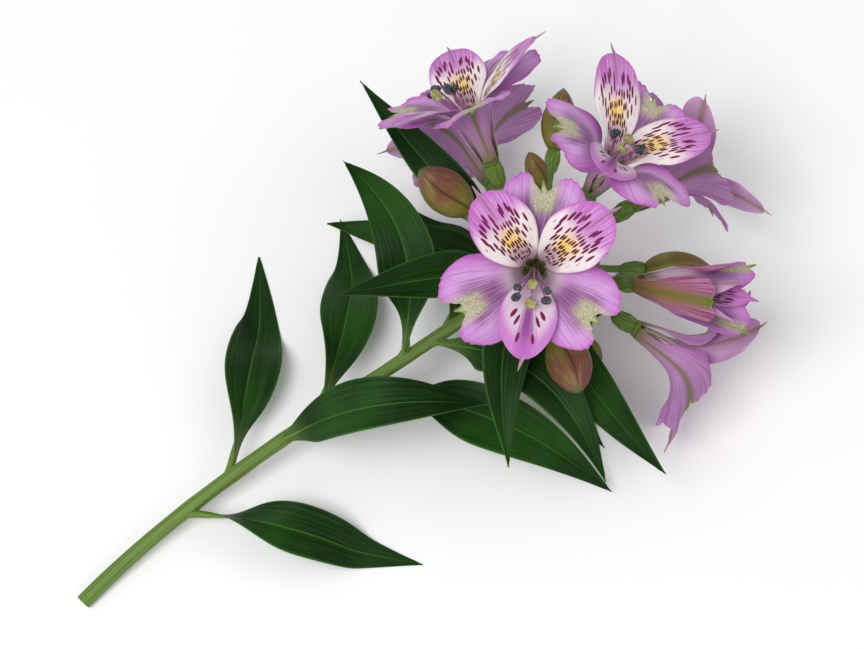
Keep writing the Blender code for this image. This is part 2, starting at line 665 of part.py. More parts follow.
def build():
    clear_scene()
    materials = SimpleNamespace(
        stem=finish("stem_green", (0.19, 0.30, 0.06), 0.45),
        leaf=finish("leaf_green", (0.03, 0.13, 0.03), 0.4),
        outer=finish("outer_lilac", (0.60, 0.33, 0.66), 0.5),
        inner=finish("inner_pale_lilac", (0.72, 0.50, 0.66), 0.5),
        stamens=finish("stamen_grey", (0.20, 0.22, 0.28), 0.6),
        bud=finish("bud_olive", (0.28, 0.28, 0.06), 0.5),
    )
    pieces = []
    draw = random.Random(7)

    stem = main_stem(materials.stem)
    grown = [crown(materials.stem)]
    rays = {}
    for name, bloom in BLOOMS.items():
        rays[name] = Ray(bloom.lean, bloom.round, bloom.reach)
        grown += rays[name].parts(name, materials.stem)
        open_bloom(name, bloom, rays[name].top, materials, pieces)
    rays["bloom_half"] = Ray(HALF_BLOOM.lean, HALF_BLOOM.round, HALF_BLOOM.reach)
    grown += rays["bloom_half"].parts("bloom_half", materials.stem)
    half_bloom("bloom_half", HALF_BLOOM, rays["bloom_half"].top, materials, pieces)

    for name, row in BUDS.items():
        ray = Ray(row.lean, row.round, row.reach - OVARY_LENGTH)
        grown += ray.parts(name, materials.stem, BUD_OVARY)
        pieces.append(bud(name, ray.top, ray.axis, row, materials.bud))
    for name, row in SIDE_BUDS.items():
        split = Fork(rays[row.ray], row.turn, row.reach)
        radii = [RAY_RADIUS * swell for swell in FORK_SWELL]
        grown.append(tube(f"{name}_fork", split.path, radii, RAY_SIDES, materials.stem))
        pieces.append(bud(name, split.path[-1], split.axis, row, materials.bud, SIDE_BUD_SIDES))
        pieces.append(bract(name.replace("bud", "bract"), split, materials.leaf, draw))
    pieces.append(union(stem, grown))
    for v in stem.data.vertices:
        v.co.z = max(v.co.z, 0)

    for name, row in LEAVES.items():
        pieces.append(stem_leaf(name, row, materials.leaf, draw))
    for i, (name, row) in enumerate(COLLAR.items()):
        pieces.append(collar_leaf(name, row, COLLAR_BELOW[i % 2], materials.leaf, draw))

    root = bpy.data.objects.new("alstroemeria", None)
    bpy.context.scene.collection.objects.link(root)
    centre = bottom_centre(pieces)
    for piece in pieces:
        piece.parent = root
    root.location = -centre


build()
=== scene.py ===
# %% [markdown]
# # A cut stem of alstroemeria, dressed
#
# The solid model of the stem is ready, and each of its pieces has the right place and size. This lesson puts
# thin tepals, veined leaves and powdery stamens where those solids are. A flower is made of sheets: a tepal
# and a leaf are flat ones, and a stem, a bud and a filament are sheets rolled into a tube. So one small
# helper shapes nearly all of it, and the rest of the work is in the curves and the colours.

# %% Load the solid model
import math
import random
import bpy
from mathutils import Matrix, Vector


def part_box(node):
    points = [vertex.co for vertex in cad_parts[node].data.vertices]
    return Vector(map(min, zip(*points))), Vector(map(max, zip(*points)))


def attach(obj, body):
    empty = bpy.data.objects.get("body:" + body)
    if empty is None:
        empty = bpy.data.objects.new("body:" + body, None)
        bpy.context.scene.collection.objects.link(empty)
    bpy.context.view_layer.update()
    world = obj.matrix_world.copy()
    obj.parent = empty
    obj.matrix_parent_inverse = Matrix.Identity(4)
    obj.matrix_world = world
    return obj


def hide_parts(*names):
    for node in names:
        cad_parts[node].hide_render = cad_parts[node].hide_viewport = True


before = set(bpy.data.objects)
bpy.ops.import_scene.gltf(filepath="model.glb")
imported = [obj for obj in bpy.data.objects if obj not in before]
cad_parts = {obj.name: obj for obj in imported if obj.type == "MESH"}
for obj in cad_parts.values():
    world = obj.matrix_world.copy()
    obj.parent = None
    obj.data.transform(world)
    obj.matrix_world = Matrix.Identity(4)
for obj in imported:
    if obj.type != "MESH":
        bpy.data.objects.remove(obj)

from types import SimpleNamespace

import bmesh
import bpy
from mathutils import Matrix, Vector

MM = 0.001
UP = Vector((0, 0, 1))
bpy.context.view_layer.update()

# %% [markdown]
# ## Curves that everything shares
#
# A plant has few straight lines. `blend` is a smooth rise from 0 to 1, `hump` swells and fades about a place,
# and `hermite` is a smooth path from one point to another. `around` and `swung` give directions by an angle,
# and `framed` carries a side along a path, so that a tube round it doesn't twist.

# %% Curve helpers
def blend(low, high, x):
    """0 below low, 1 above high, and a smooth rise between."""
    x = min(1.0, max(0.0, (x - low) / (high - low)))
    return x * x * (3 - 2 * x)


def hump(x, width):
    """1 where x is 0, and fading to 0 on both sides."""
    return math.exp(-((x / width) ** 2))


def hermite(start, start_pull, end, end_pull, share):
    a, b, c = share, share**2, share**3
    leaving = (2 * c - 3 * b + 1) * start + (c - 2 * b + a) * start_pull
    return leaving + (3 * b - 2 * c) * end + (c - b) * end_pull


def around(angle):
    """A level direction."""
    return Vector((math.cos(angle), math.sin(angle), 0))


def swung(angle, first, second):
    """The first direction, swung by an angle towards the second."""
    return math.cos(angle) * first + math.sin(angle) * second


def steps(count):
    return [i / count for i in range(count + 1)]


def outline_at(outline, share):
    """A smooth value between the places of an outline, each a share and a value."""
    for (a, low), (b, high) in zip(outline, outline[1:]):
        if share <= b:
            return low + (high - low) * blend(a, b, max(a, share))
    return outline[-1][1]


def framed(points):
    """For each point of a path, two directions across it."""
    found = []
    side = None
    for i in range(len(points)):
        along = (points[min(i + 1, len(points) - 1)] - points[max(i - 1, 0)]).normalized()
        side = side or along.orthogonal().normalized()
        side = (side - side.dot(along) * along).normalized()
        found.append((side, along.cross(side)))
    return found


print("halfway up a blend:", blend(0, 1, 0.5))

# %% [markdown]
# ## A sheet, and a sheet rolled into a tube
#
# `create_grid` makes a flat net, and each of its corners is then moved to its place on the tepal or leaf.
# The net keeps its own map: across is t, from one margin to the other, and along is q, from the foot to the
# tip. Veins, dashes and blotches are painted on that map later, so they follow the growth of the piece. A
# tube is the same net with its two long sides merged and its open ends filled.

# %% The sheet and the tube
MAP = "growth"


def closer(u):
    """Places across a sheet that crowd at its midrib and at its margins, where the outline turns."""
    return math.copysign(0.8 * blend(0, 1, abs(u)) + 0.2 * abs(u), u)


def tip_closer(v):
    """Places along a sheet that crowd towards its tip."""
    return 1 - (1 - v) ** 1.5


def sheet(bm, columns, rows, place, across=closer, along=tip_closer, material=0):
    """A net laid on place(q, t), with t from -1 to 1 and q from 0 to 1, and its map."""
    chart = bm.loops.layers.uv.get(MAP) or bm.loops.layers.uv.new(MAP)
    net = bmesh.ops.create_grid(bm, x_segments=columns, y_segments=rows, size=1)["verts"]
    spots = {v: (across(v.co.x), along((v.co.y + 1) / 2)) for v in net}
    for face in {face for v in net for face in v.link_faces}:
        face.material_index = material
        for loop in face.loops:
            t, q = spots[loop.vert]
            loop[chart].uv = ((t + 1) / 2, q)
    for v, (t, q) in spots.items():
        v.co = place(q, t)
    return net


def even(x):
    return x


def tube(bm, points, radii, sides, shape=None, material=0):
    """A net rolled about a path. shape(q, angle) swells or ribs it. A radius of 0 closes an end."""
    sides_at = framed(points)
    rows = len(points) - 1

    def place(q, t):
        i = round(q * rows)
        first, second = sides_at[i]
        angle = math.pi * t
        reach = radii[i] * (shape(q, angle) if shape else 1)
        return points[i] + reach * swung(angle, first, second)

    net = sheet(bm, sides, rows, place, even, even, material)
    bmesh.ops.remove_doubles(bm, verts=net, dist=1e-6)
    rims = {edge for v in net if v.is_valid for edge in v.link_edges if edge.is_boundary}
    bmesh.ops.holes_fill(bm, edges=list(rims), sides=0)


def placed(name, data):
    """A new object in the scene."""
    made = bpy.data.objects.new(name, data)
    bpy.context.scene.collection.objects.link(made)
    return made


def mesh_from(name, bm, materials):
    mesh = bpy.data.meshes.new(name)
    bm.to_mesh(mesh)
    bm.free()
    for material in materials:
        mesh.materials.append(material)
    return placed(name, mesh)


def piece(name, bm, materials, slot, *nodes, closed=False):
    """A finished piece at the origin, riding on the stem, and standing for the solids that it names."""
    if closed:
        bmesh.ops.recalc_face_normals(bm, faces=bm.faces)
    for face in bm.faces:
        face.smooth = True
    obj = mesh_from(name, bm, materials)
    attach(obj, "root")
    if nodes:
        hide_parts(*nodes)
    return obj


def thicken(obj, thick, back):
    """Gives a sheet its thickness. back is 1 where the underside has the next material of the list."""
    layer = obj.modifiers.new("thickness", "SOLIDIFY")
    layer.thickness = thick
    layer.offset = 0
    layer.material_offset = back
    layer.material_offset_rim = 0


print("the map of a sheet is called", MAP)

# %% [markdown]
# ## Painting with nodes
#
# Each finish is a small graph of nodes. `Finish` wraps it, so that a line of code reads like a recipe: a
# ground of two tones, and then glazes over it, each with its share, its weight and its colour. `up` and
# `out` say where a glaze lies, along the sheet and out from its midrib, and `frayed` makes an edge uneven.
# Nothing is painted from a picture.

# %% The finish helper
def srgb(r, g, b):
    """A colour as a paint program gives it, in the units that a shader wants."""
    return (*((c / 255 / 12.92 if c < 11 else ((c / 255 + 0.055) / 1.055) ** 2.4) for c in (r, g, b)), 1)


class Finish:
    """A material in the making: the place on the sheet, the tone so far, and the nodes that change it."""

    def __init__(self, name, roughness):
        self.material = bpy.data.materials.new(name)
        self.material.use_nodes = True
        self.tree = self.material.node_tree
        self.shader = self.tree.nodes["Principled BSDF"]
        self.shader.inputs["Roughness"].default_value = roughness
        chart = self.node("SeparateXYZ", {0: self.node("UVMap", {}, uv_map=MAP).outputs[0]})
        self.across = self.maths("MULTIPLY_ADD", chart.outputs[0], 2.0, -1.0)
        self.away = self.maths("ABSOLUTE", self.across)
        self.along = chart.outputs[1]

    def node(self, kind, inputs, **settings):
        made = self.tree.nodes.new("ShaderNode" + kind)
        for key, value in settings.items():
            setattr(made, key, value)
        for key, value in inputs.items():
            if isinstance(value, bpy.types.NodeSocket):
                self.tree.links.new(value, made.inputs[key])
            else:
                made.inputs[key].default_value = value
        return made

    def maths(self, operation, *values):
        return self.node("Math", dict(enumerate(values)), operation=operation).outputs[0]

    def times(self, *values):
        result = values[0]
        for value in values[1:]:
            result = self.maths("MULTIPLY", result, value)
        return result

    def frayed(self, value, pattern, much):
        """A value made uneven by a pattern about a half."""
        return self.maths("ADD", value, self.times(self.maths("SUBTRACT", pattern, 0.5), much))

    def rise(self, value, low, high):
        """0 where value is under low, 1 where it is over high, and smooth between. low may be the larger."""
        falls = float(low > high)
        limits = {0: value, 1: min(low, high), 2: max(low, high), 3: falls, 4: 1 - falls}
        return self.node("MapRange", limits, interpolation_type="SMOOTHSTEP").outputs[0]

    def up(self, low, high):
        """A rise along the sheet, where 0 is its foot and 1 its tip."""
        return self.rise(self.along, low, high)

    def out(self, low, high):
        """A rise away from the midrib, where 1 is either margin."""
        return self.rise(self.away, low, high)

    def point(self, x, y):
        return self.node("CombineXYZ", {0: x, 1: y}).outputs[0]

    def place(self):
        """The point in the piece's own space."""
        return self.node("TexCoord", {}).outputs["Object"]

    def noise(self, scale, detail=2.0, point=None):
        """Clouds in the piece's own space, or at a point of its map."""
        point = self.place() if point is None else point
        return self.node("TexNoise", {"Vector": point, "Scale": scale, "Detail": detail}).outputs[0]

    def streaks(self, count, length, detail=2.0):
        """Uneven lines that run along the sheet. count is how many lie across it."""
        point = self.point(self.times(self.across, count), self.times(self.along, length))
        return self.noise(1.0, detail, point)

    def mix(self, share, first, second):
        """From the first colour to the second. Each is red, green and blue up to 255, or another mix."""
        first, second = (c if isinstance(c, bpy.types.NodeSocket) else srgb(*c) for c in (first, second))
        return self.node("Mix", {0: share, 6: first, 7: second}, data_type="RGBA").outputs[2]

    def ground(self, share, first, second):
        self.tone = self.mix(share, first, second)

    def glaze(self, share, weight, colour):
        """Lays a colour over the tone. share says where, and weight how strongly."""
        self.tone = self.mix(share if weight == 1 else self.times(share, weight), self.tone, colour)

    def roughen(self, value, low, high):
        made = self.node("MapRange", {0: value, 3: low, 4: high})
        self.tree.links.new(made.outputs[0], self.shader.inputs["Roughness"])

    def set(self, **values):
        for key, value in values.items():
            self.shader.inputs[key.replace("_", " ")].default_value = value

    def finished(self, height=None, distance=0.0004, strength=0.45):
        """Takes the tone as the colour and the height as the relief."""
        self.tree.links.new(self.tone, self.shader.inputs["Base Color"])
        if height is not None:
            made = self.node("Bump", {"Height": height, "Distance": distance, "Strength": strength})
            self.tree.links.new(made.outputs[0], self.shader.inputs["Normal"])
        return self.material


LILAC_LIGHT = (1.0, 0.7, 0.9)
GREEN_LIGHT = (0.5, 1.0, 0.3)


def living(finish, weight, depth, carried=GREEN_LIGHT):
    """Light that enters a living tissue and comes out near by. carried is how far each colour goes in it."""
    finish.set(Subsurface_Weight=weight, Subsurface_Scale=depth, Subsurface_Radius=carried)


print("lilac in a shader's units:", [round(c, 2) for c in srgb(206, 158, 214)[:3]])

# %% [markdown]
# ## The lilac face of an outer tepal
#
# Up close the lilac isn't one colour. Fine veins run from the claw to the margin, the rim is pinker, and the
# throat fades to a dull white. Towards the tip lies a dark veiny blaze, and beyond it, in the notch, a felted
# patch of green and cream that ends in a green point. The blaze and the patch sit at fixed places of the map,
# and noise frays their edges.

# %% The lilac face and its back
def matt(f):
    """A petal has hardly any gloss, and the light goes some way into it."""
    f.set(Specular_IOR_Level=0.22, Sheen_Weight=0.05, Sheen_Roughness=0.5)
    living(f, 0.16, 0.0012, LILAC_LIGHT)


def lilac_face():
    f = Finish("lilac_face", 0.5)
    veins = f.streaks(24, 1.6, 3)
    threads = f.streaks(75, 5)
    f.ground(f.noise(90, 3), (196, 142, 206), (214, 172, 220))
    f.glaze(f.maths("MAXIMUM", f.up(0.84, 1.02), f.out(0.72, 1.0)), 0.8, (190, 108, 190))
    f.glaze(f.maths("MAXIMUM", f.up(0.965, 1.0), f.out(0.94, 1.0)), 0.6, (170, 74, 160))
    f.glaze(f.rise(veins, 0.5, 0.66), 0.45, (166, 100, 172))
    f.glaze(f.rise(threads, 0.55, 0.7), 0.25, (228, 196, 230))
    f.glaze(f.up(0.58, 0.42), 0.85, (226, 202, 214))
    f.glaze(f.up(0.2, 0.08), 0.8, (136, 130, 82))
    blaze = f.times(f.up(0.42, 0.62), f.up(0.93, 0.78), f.rise(f.frayed(f.away, threads, 0.5), 0.78, 0.26))
    veined = f.maths("MULTIPLY_ADD", f.rise(veins, 0.36, 0.6), 0.45, 0.5)
    f.glaze(f.times(blaze, veined), 1, (112, 52, 106))
    felt = f.noise(2300, 3)
    hairs = f.streaks(46, 30)
    worn = f.frayed(f.away, hairs, 0.4)
    patch = f.times(f.up(0.65, 0.79), f.rise(worn, 0.42, 0.18))
    fleck = f.rise(f.maths("ADD", felt, f.times(hairs, 0.5)), 0.55, 1.0)
    down = f.mix(fleck, (148, 146, 104), (212, 206, 182))
    green = f.times(f.up(0.84, 0.97), f.rise(worn, 0.2, 0.06), 0.6)
    f.glaze(patch, 0.92, f.mix(green, down, (142, 160, 84)))
    f.glaze(f.times(f.up(0.93, 0.97), f.out(0.1, 0.05)), 1, (112, 142, 52))
    f.roughen(veins, 0.44, 0.62)
    matt(f)
    height = f.maths("ADD", f.times(threads, 0.4), veins)
    return f.finished(f.maths("ADD", height, f.times(patch, felt, 1.5)))


def lilac_back():
    """The outside of the same tepal: a broad green rib from the claw to the point."""
    f = Finish("lilac_back", 0.55)
    veins = f.streaks(22, 1.4, 3)
    f.ground(f.noise(80, 3), (188, 134, 194), (208, 164, 212))
    f.glaze(f.out(0.8, 1.0), 0.6, (186, 106, 184))
    f.glaze(f.rise(veins, 0.46, 0.62), 0.6, (150, 88, 142))
    f.glaze(f.up(0.5, 0.1), 0.75, (170, 134, 140))
    rib = f.rise(f.frayed(f.away, veins, 0.4), 0.3, 0.04)
    f.glaze(f.maths("MAXIMUM", rib, f.up(0.16, 0.02)), 0.8, (116, 118, 50))
    matt(f)
    return f.finished(veins, strength=0.5)


LILAC = [lilac_face(), lilac_back()]
print("made", [m.name for m in LILAC])

# %% [markdown]
# ## The spotted face of an inner tepal
#
# The two upper inner tepals guide insects to the nectar. From the foot outward come an olive pit, a pinkish
# zone of small dots, a yellow flame, white, and a violet end. Maroon dashes run out along the veins and grow
# longer as they go. The dashes are the cells of a Voronoi pattern on the map. Across, more cells are laid as
# the tepal widens, and along, their spacing opens up, so each round spot is drawn out into a dash. The lower
# tepal has only three pairs of dashes, and they are placed one by one.

# %% The spotted face, the lower face and their back
DASH_GROWTH = (31.6, -14.5)
DASH_SIZE = 0.42
DASH_MAROON = (112, 18, 76)
LOWER_PAIRS = ((0.7, 0.74, 0.06, 0.052, 0.9), (0.49, 0.75, 0.06, 0.054, 1.0), (0.29, 0.86, 0.06, 0.044, 0.6))


def dashes(f, band):
    """Dots near the foot and long dashes farther out, in rows along the veins. band is 0 where none are."""
    crowd = f.maths("MULTIPLY_ADD", f.up(0.34, 0.86), 4.4, 3.4)
    first, slower = DASH_GROWTH
    spread = f.times(f.along, f.maths("MULTIPLY_ADD", f.along, slower, first))
    place = f.point(f.times(f.across, crowd), spread)
    cells = f.node("TexVoronoi", {"Vector": place, "Scale": 1.0, "Randomness": 0.6}, voronoi_dimensions="2D")
    ragged = f.maths("ADD", cells.outputs["Distance"], f.times(f.streaks(60, 30), 0.14))
    kept = f.rise(f.node("SeparateColor", {0: cells.outputs["Color"]}).outputs[0], 0.06, 0.1)
    size = f.times(band, kept, DASH_SIZE)
    return f.times(f.rise(f.maths("SUBTRACT", ragged, size), 0.04, -0.04), f.rise(size, 0.02, 0.08))


def spot(f, t, q, wide, long, fan):
    """A single dash on each side of the midrib. fan slants its far end outward."""
    past = f.maths("SUBTRACT", f.along, q)
    line = f.maths("MULTIPLY_ADD", past, fan, t)
    across = f.maths("DIVIDE", f.maths("SUBTRACT", f.away, line), wide)
    along = f.maths("DIVIDE", past, long)
    away = f.maths("ADD", f.times(across, across), f.times(along, along))
    return f.rise(f.frayed(away, f.streaks(30, 12), 0.9), 1.1, 0.75)


def spotted_face():
    f = Finish("spotted_face", 0.5)
    veins = f.streaks(20, 1.5, 3)
    reach = f.frayed(f.along, f.streaks(9, 3), 0.16)
    white = f.mix(f.noise(120, 3), (226, 206, 214), (244, 234, 230))
    f.ground(f.rise(reach, 0.5, 0.63), f.mix(veins, (178, 142, 154), (214, 184, 192)), white)
    flame = f.times(f.rise(reach, 0.48, 0.57), f.rise(reach, 0.75, 0.62), f.out(0.92, 0.4))
    f.glaze(f.times(flame, f.rise(veins, 0.38, 0.56)), 1, (240, 198, 70))
    violet = f.rise(f.maths("SUBTRACT", reach, f.times(f.away, f.away, 0.24)), 0.62, 0.8)
    f.glaze(violet, 0.95, f.mix(f.rise(veins, 0.35, 0.65), (206, 144, 206), (176, 92, 176)))
    f.glaze(f.up(0.94, 1.0), 0.7, (186, 98, 184))
    f.glaze(f.times(f.out(0.1, 0.02), f.up(0.7, 0.86)), 0.6, (146, 84, 126))
    f.glaze(f.up(0.38, 0.26), 1, (84, 82, 34))
    band = f.times(f.up(0.32, 0.38), f.up(0.96, 0.86), f.out(1.02, 0.84))
    off_midrib = f.maths("MAXIMUM", f.out(0.04, 0.14), f.up(0.76, 0.7))
    f.glaze(dashes(f, f.times(band, off_midrib)), 1, f.mix(f.up(0.5, 0.75), (74, 16, 34), DASH_MAROON))
    f.glaze(f.times(f.up(0.94, 0.98), f.out(0.09, 0.05)), 1, (168, 128, 150))
    f.roughen(veins, 0.42, 0.6)
    matt(f)
    return f.finished(veins)


def lower_face():
    """The single lower inner tepal: pale sides, a violet band down the middle, and three pairs of dashes."""
    f = Finish("lower_face", 0.5)
    veins = f.streaks(18, 1.5, 3)
    f.ground(veins, (206, 176, 200), (230, 210, 222))
    middle = f.rise(f.frayed(f.away, veins, 0.6), 0.5, 0.12)
    f.glaze(f.times(middle, f.up(0.46, 0.66)), 1, (146, 74, 148))
    f.glaze(f.up(0.76, 0.94), 0.85, (186, 104, 188))
    f.glaze(f.up(0.46, 0.3), 1, (150, 132, 120))
    for pair in LOWER_PAIRS:
        f.glaze(spot(f, *pair), 1, DASH_MAROON)
    f.glaze(f.times(f.up(0.94, 0.98), f.out(0.1, 0.05)), 1, (176, 136, 156))
    matt(f)
    return f.finished(veins)


def inner_back():
    f = Finish("inner_back", 0.55)
    veins = f.streaks(20, 1.5, 3)
    f.ground(veins, (190, 136, 188), (216, 182, 212))
    f.glaze(f.out(0.3, 0.05), 0.7, (142, 120, 84))
    f.glaze(f.up(0.45, 0.1), 1, (172, 160, 140))
    matt(f)
    return f.finished(veins)


SPOTTED = [spotted_face(), lower_face(), inner_back()]
print("made", [m.name for m in SPOTTED])

# %% [markdown]
# ## Greens: the stem, the leaves and the buds
#
# A leaf of this plant is dark, with a low gloss, many veins side by side and a pale midrib. Its underside is
# paler and dull. The stem is ribbed and lighter. A bud is olive with a maroon flush towards its tip, and
# three seams show where its outer tepals meet.

# %% The greens
def leaf_face(name, dark, light, vein, rough, gloss):
    f = Finish(name, rough)
    veins = f.streaks(15, 0.8, 3)
    fine = f.streaks(60, 2.5)
    f.ground(f.rise(f.noise(28, 3), 0.35, 0.7), dark, light)
    f.glaze(f.rise(veins, 0.5, 0.64), 0.6, light)
    f.glaze(f.rise(fine, 0.55, 0.7), 0.35, vein)
    f.glaze(f.rise(veins, 0.45, 0.35), 0.5, dark)
    f.glaze(f.out(0.05, 0.015), 0.6, vein)
    f.glaze(f.out(0.93, 1.0), 0.6, vein)
    f.glaze(f.up(0.2, 0.02), 0.8, (96, 126, 58))
    f.roughen(fine, rough - 0.06, rough + 0.14)
    f.set(Specular_IOR_Level=gloss)
    living(f, 0.06, 0.0008)
    return f.finished(f.maths("ADD", veins, f.times(fine, 0.6)), 0.0007, 0.6)


def stem_green():
    f = Finish("stem_green", 0.42)
    ribs = f.streaks(14, 3)
    fine = f.streaks(50, 8)
    f.ground(f.rise(ribs, 0.3, 0.7), (76, 106, 36), (110, 138, 58))
    f.glaze(f.rise(f.noise(40, 3), 0.5, 0.7), 0.4, (98, 114, 48))
    f.glaze(f.rise(fine, 0.5, 0.75), 0.3, (140, 160, 84))
    f.roughen(ribs, 0.34, 0.5)
    f.set(Specular_IOR_Level=0.3)
    living(f, 0.06, 0.0008)
    return f.finished(f.maths("ADD", ribs, f.times(fine, 0.4)), 0.0003, 0.35)


def throat_olive():
    """The depth of the throat, where the nectar is: dark olive, wet and a little uneven."""
    f = Finish("throat_olive", 0.32)
    cloud = f.noise(700, 3)
    f.ground(cloud, (58, 58, 20), (112, 112, 54))
    return f.finished(cloud, 0.0003, 0.4)


def pith():
    """The cut face: pale flesh with the ends of the strands that carry the sap."""
    f = Finish("cut_pith", 0.6)
    strands = f.node("TexVoronoi", {"Vector": f.place(), "Scale": 1400.0})
    dots = f.rise(strands.outputs["Distance"], 0.3, 0.2)
    f.ground(f.noise(900), (196, 206, 150), (222, 226, 184))
    f.glaze(dots, 0.6, (140, 156, 84))
    return f.finished(dots, 0.0003, 0.4)


def bud_skin():
    f = Finish("bud_skin", 0.4)
    seam = f.maths("PINGPONG", f.maths("MULTIPLY_ADD", f.across, 1.5, f.times(f.along, 0.25)), 0.5)
    veins = f.streaks(26, 2, 3)
    fine = f.streaks(70, 5)
    cloud = f.noise(70, 3)
    f.ground(cloud, (104, 94, 30), (150, 146, 54))
    f.glaze(f.rise(seam, 0.3, 0.5), 0.8, (84, 104, 34))
    flush = f.rise(f.maths("ADD", cloud, f.times(veins, 0.5)), 0.56, 0.82)
    f.glaze(f.times(f.up(0.25, 0.75), flush), 0.9, (112, 44, 54))
    f.glaze(f.rise(veins, 0.5, 0.62), 0.5, (92, 58, 34))
    f.glaze(f.rise(fine, 0.55, 0.7), 0.3, (168, 160, 84))
    f.glaze(f.rise(seam, 0.06, 0.0), 0.85, (62, 40, 18))
    f.glaze(f.up(0.92, 0.99), 1, (76, 96, 34))
    f.roughen(veins, 0.32, 0.5)
    f.set(Specular_IOR_Level=0.35)
    living(f, 0.08, 0.001)
    return f.finished(f.maths("ADD", veins, f.times(fine, 0.5)), 0.0005, 0.5)


def half_back():
    """The outside of a half-open bloom: still olive below, and flushed with maroon and lilac above."""
    f = Finish("half_open_back", 0.5)
    veins = f.streaks(20, 1.6, 3)
    f.ground(veins, (116, 84, 52), (162, 122, 92))
    lilac = f.mix(f.rise(veins, 0.35, 0.65), (186, 128, 164), (134, 62, 100))
    f.glaze(f.rise(f.maths("ADD", f.times(f.away, 0.5), f.along), 0.55, 1.2), 1, lilac)
    f.glaze(f.rise(f.frayed(f.away, veins, 0.4), 0.42, 0.06), 0.85, (112, 112, 40))
    f.glaze(f.times(f.up(0.88, 0.97), f.out(0.3, 0.12)), 1, (104, 122, 46))
    f.glaze(f.out(0.9, 1.0), 0.7, (150, 60, 110))
    matt(f)
    return f.finished(veins, 0.0005, 0.5)


LEAF = [
    leaf_face("leaf_face", (12, 40, 6), (36, 78, 22), (72, 120, 50), 0.3, 0.13),
    leaf_face("leaf_back", (44, 78, 34), (72, 106, 54), (100, 132, 80), 0.55, 0.2),
]
YOUNG_LEAF = [
    leaf_face("young_leaf_face", (48, 92, 22), (78, 124, 42), (116, 152, 76), 0.36, 0.3),
    leaf_face("young_leaf_back", (78, 116, 52), (104, 138, 74), (130, 158, 98), 0.55, 0.2),
]
THROAT, GREEN, PITH, BUD, HALF_BACK = throat_olive(), stem_green(), pith(), bud_skin(), half_back()
print("made", GREEN.name, PITH.name, BUD.name, "and", [m.name for m in LEAF])

# %% [markdown]
# ## The finishes of the stamens
#
# The anthers are slate grey and powdery, and in each bloom two have opened and show pale yellow pollen. The
# filaments are lilac, and paler at the foot. Powder is fine noise, both in the colour and in the relief.

# %% The powder and the filament
def powder(name, dark, light):
    f = Finish(name, 0.85)
    grains = f.maths("ADD", f.noise(2600), f.noise(700))
    f.ground(f.rise(grains, 0.75, 1.3), dark, light)
    return f.finished(grains, strength=0.8)


def filament():
    f = Finish("filament", 0.4)
    f.ground(f.up(0.2, 0.9), (186, 160, 160), (156, 92, 150))
    living(f, 0.15, 0.001, LILAC_LIGHT)
    return f.finished(f.streaks(4, 40), 0.0002, 0.3)


STAMEN = [
    filament(),
    powder("slate_anther", (34, 39, 46), (86, 92, 100)),
    powder("ripe_anther", (132, 124, 78), (192, 182, 126)),
]
print("made", [m.name for m in STAMEN])

# %% [markdown]
# ## Where the umbel sits
#
# The stem lies along +X with its cut end at -X. Its other end, the crown, is where the rays of the umbel
# meet. These numbers repeat the solid model's own, and the box of its stem is printed beside them.

# %% The stem's line and the ways out of the crown
STEM_REACH = 190 * MM
CUT_RADIUS = 2.7 * MM
TOP_RADIUS = 2.1 * MM
CROWN_RADIUS = 3.5 * MM
STEM_SWAY = 36 * MM
CROWN = Vector((57.04, 1.66, 40)) * MM
CUT = Vector((CROWN.x - STEM_REACH, CROWN.y, 0.9 * CUT_RADIUS))
CROWN_RISE = math.radians(13)
STEM_ALONG = Vector((math.cos(CROWN_RISE), 0, math.sin(CROWN_RISE)))
STEM_ABOVE = Vector((-math.sin(CROWN_RISE), 0, math.cos(CROWN_RISE)))
STEM_BESIDE = Vector((0, 1, 0))


def stem_point(share):
    """A point on the main stem, and its direction there."""
    start_pull = Vector((STEM_REACH, STEM_SWAY, STEM_REACH * 0.15))

    def at(s):
        return hermite(CUT, start_pull, CROWN, STEM_ALONG * STEM_REACH, s)

    return at(share), (at(share + 0.01) - at(share - 0.01)).normalized()


def stem_radius(share):
    return CUT_RADIUS + (TOP_RADIUS - CUT_RADIUS) * share


def direction(lean, round_stem):
    """The way that makes an angle of lean with the stem's end, at a place round it from its upper side."""
    across = swung(math.radians(round_stem), STEM_ABOVE, STEM_BESIDE)
    return swung(math.radians(lean), STEM_ALONG, across)


low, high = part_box("stem")
print("stem solid", [round(c * 1000, 1) for c in (*low, *high)], "cut end at", round(CUT.x * 1000, 1))

# %% [markdown]
# ## The shape of a tepal
#
# A tepal starts as a narrow claw beside the ovary. It stands nearly upright in the throat and then leans out.
# Laid flat it is a paddle, and on the bloom it is bent along its midrib, rolled about the throat and cupped
# across. So its surface takes two steps: find the spot on the flat paddle, then carry it up the bent midrib.
# The margin gets small teeth, which the solid is too coarse to show.

# %% The tables of the tepals
NOTCH_WIDTH = 0.29
CREASE = 0.35 * MM
AWN_HOOK = 0.8 * MM
FRILL = 0.3
RIB_STEPS = 60
RIB_BEYOND = 16
TEPALS_IN_MM = {
    "length": (45, 46, 44, 41, 40),
    "claw": (2.7, 1.15, 1.15, 2.7, 1.15),  # half the width at the foot
    "half": (14.4, 10, 9.4, 8.3, 4.6),  # half the width at the widest
    "notch": (8.2, 0, 0, 3, 0),
    "awn": (4.6, 3.8, 3.8, 3.6, 3),  # the fine point at the tip
    "base": (3.1, 2, 2, 3.1, 2),  # how far from the bloom's axis the foot is
    "start": (1, 2.2, 2.2, 1, 2.2),  # and how high on the ovary
    "throat": (12, 10, 11, 11, 12),  # the stretch that stands in the throat
    "flared": (31, 27, 28, 18, 20),  # and the one up to the end of the flare
    "curl": (1, 0.8, 0.5, -1, 0),  # how far the tip turns out
    "ruffle": (1.4, 0.4, 0.3, 0.5, 0.2),
    "teeth": (0.46, 0.1, 0.1, 0.15, 0.08),
}
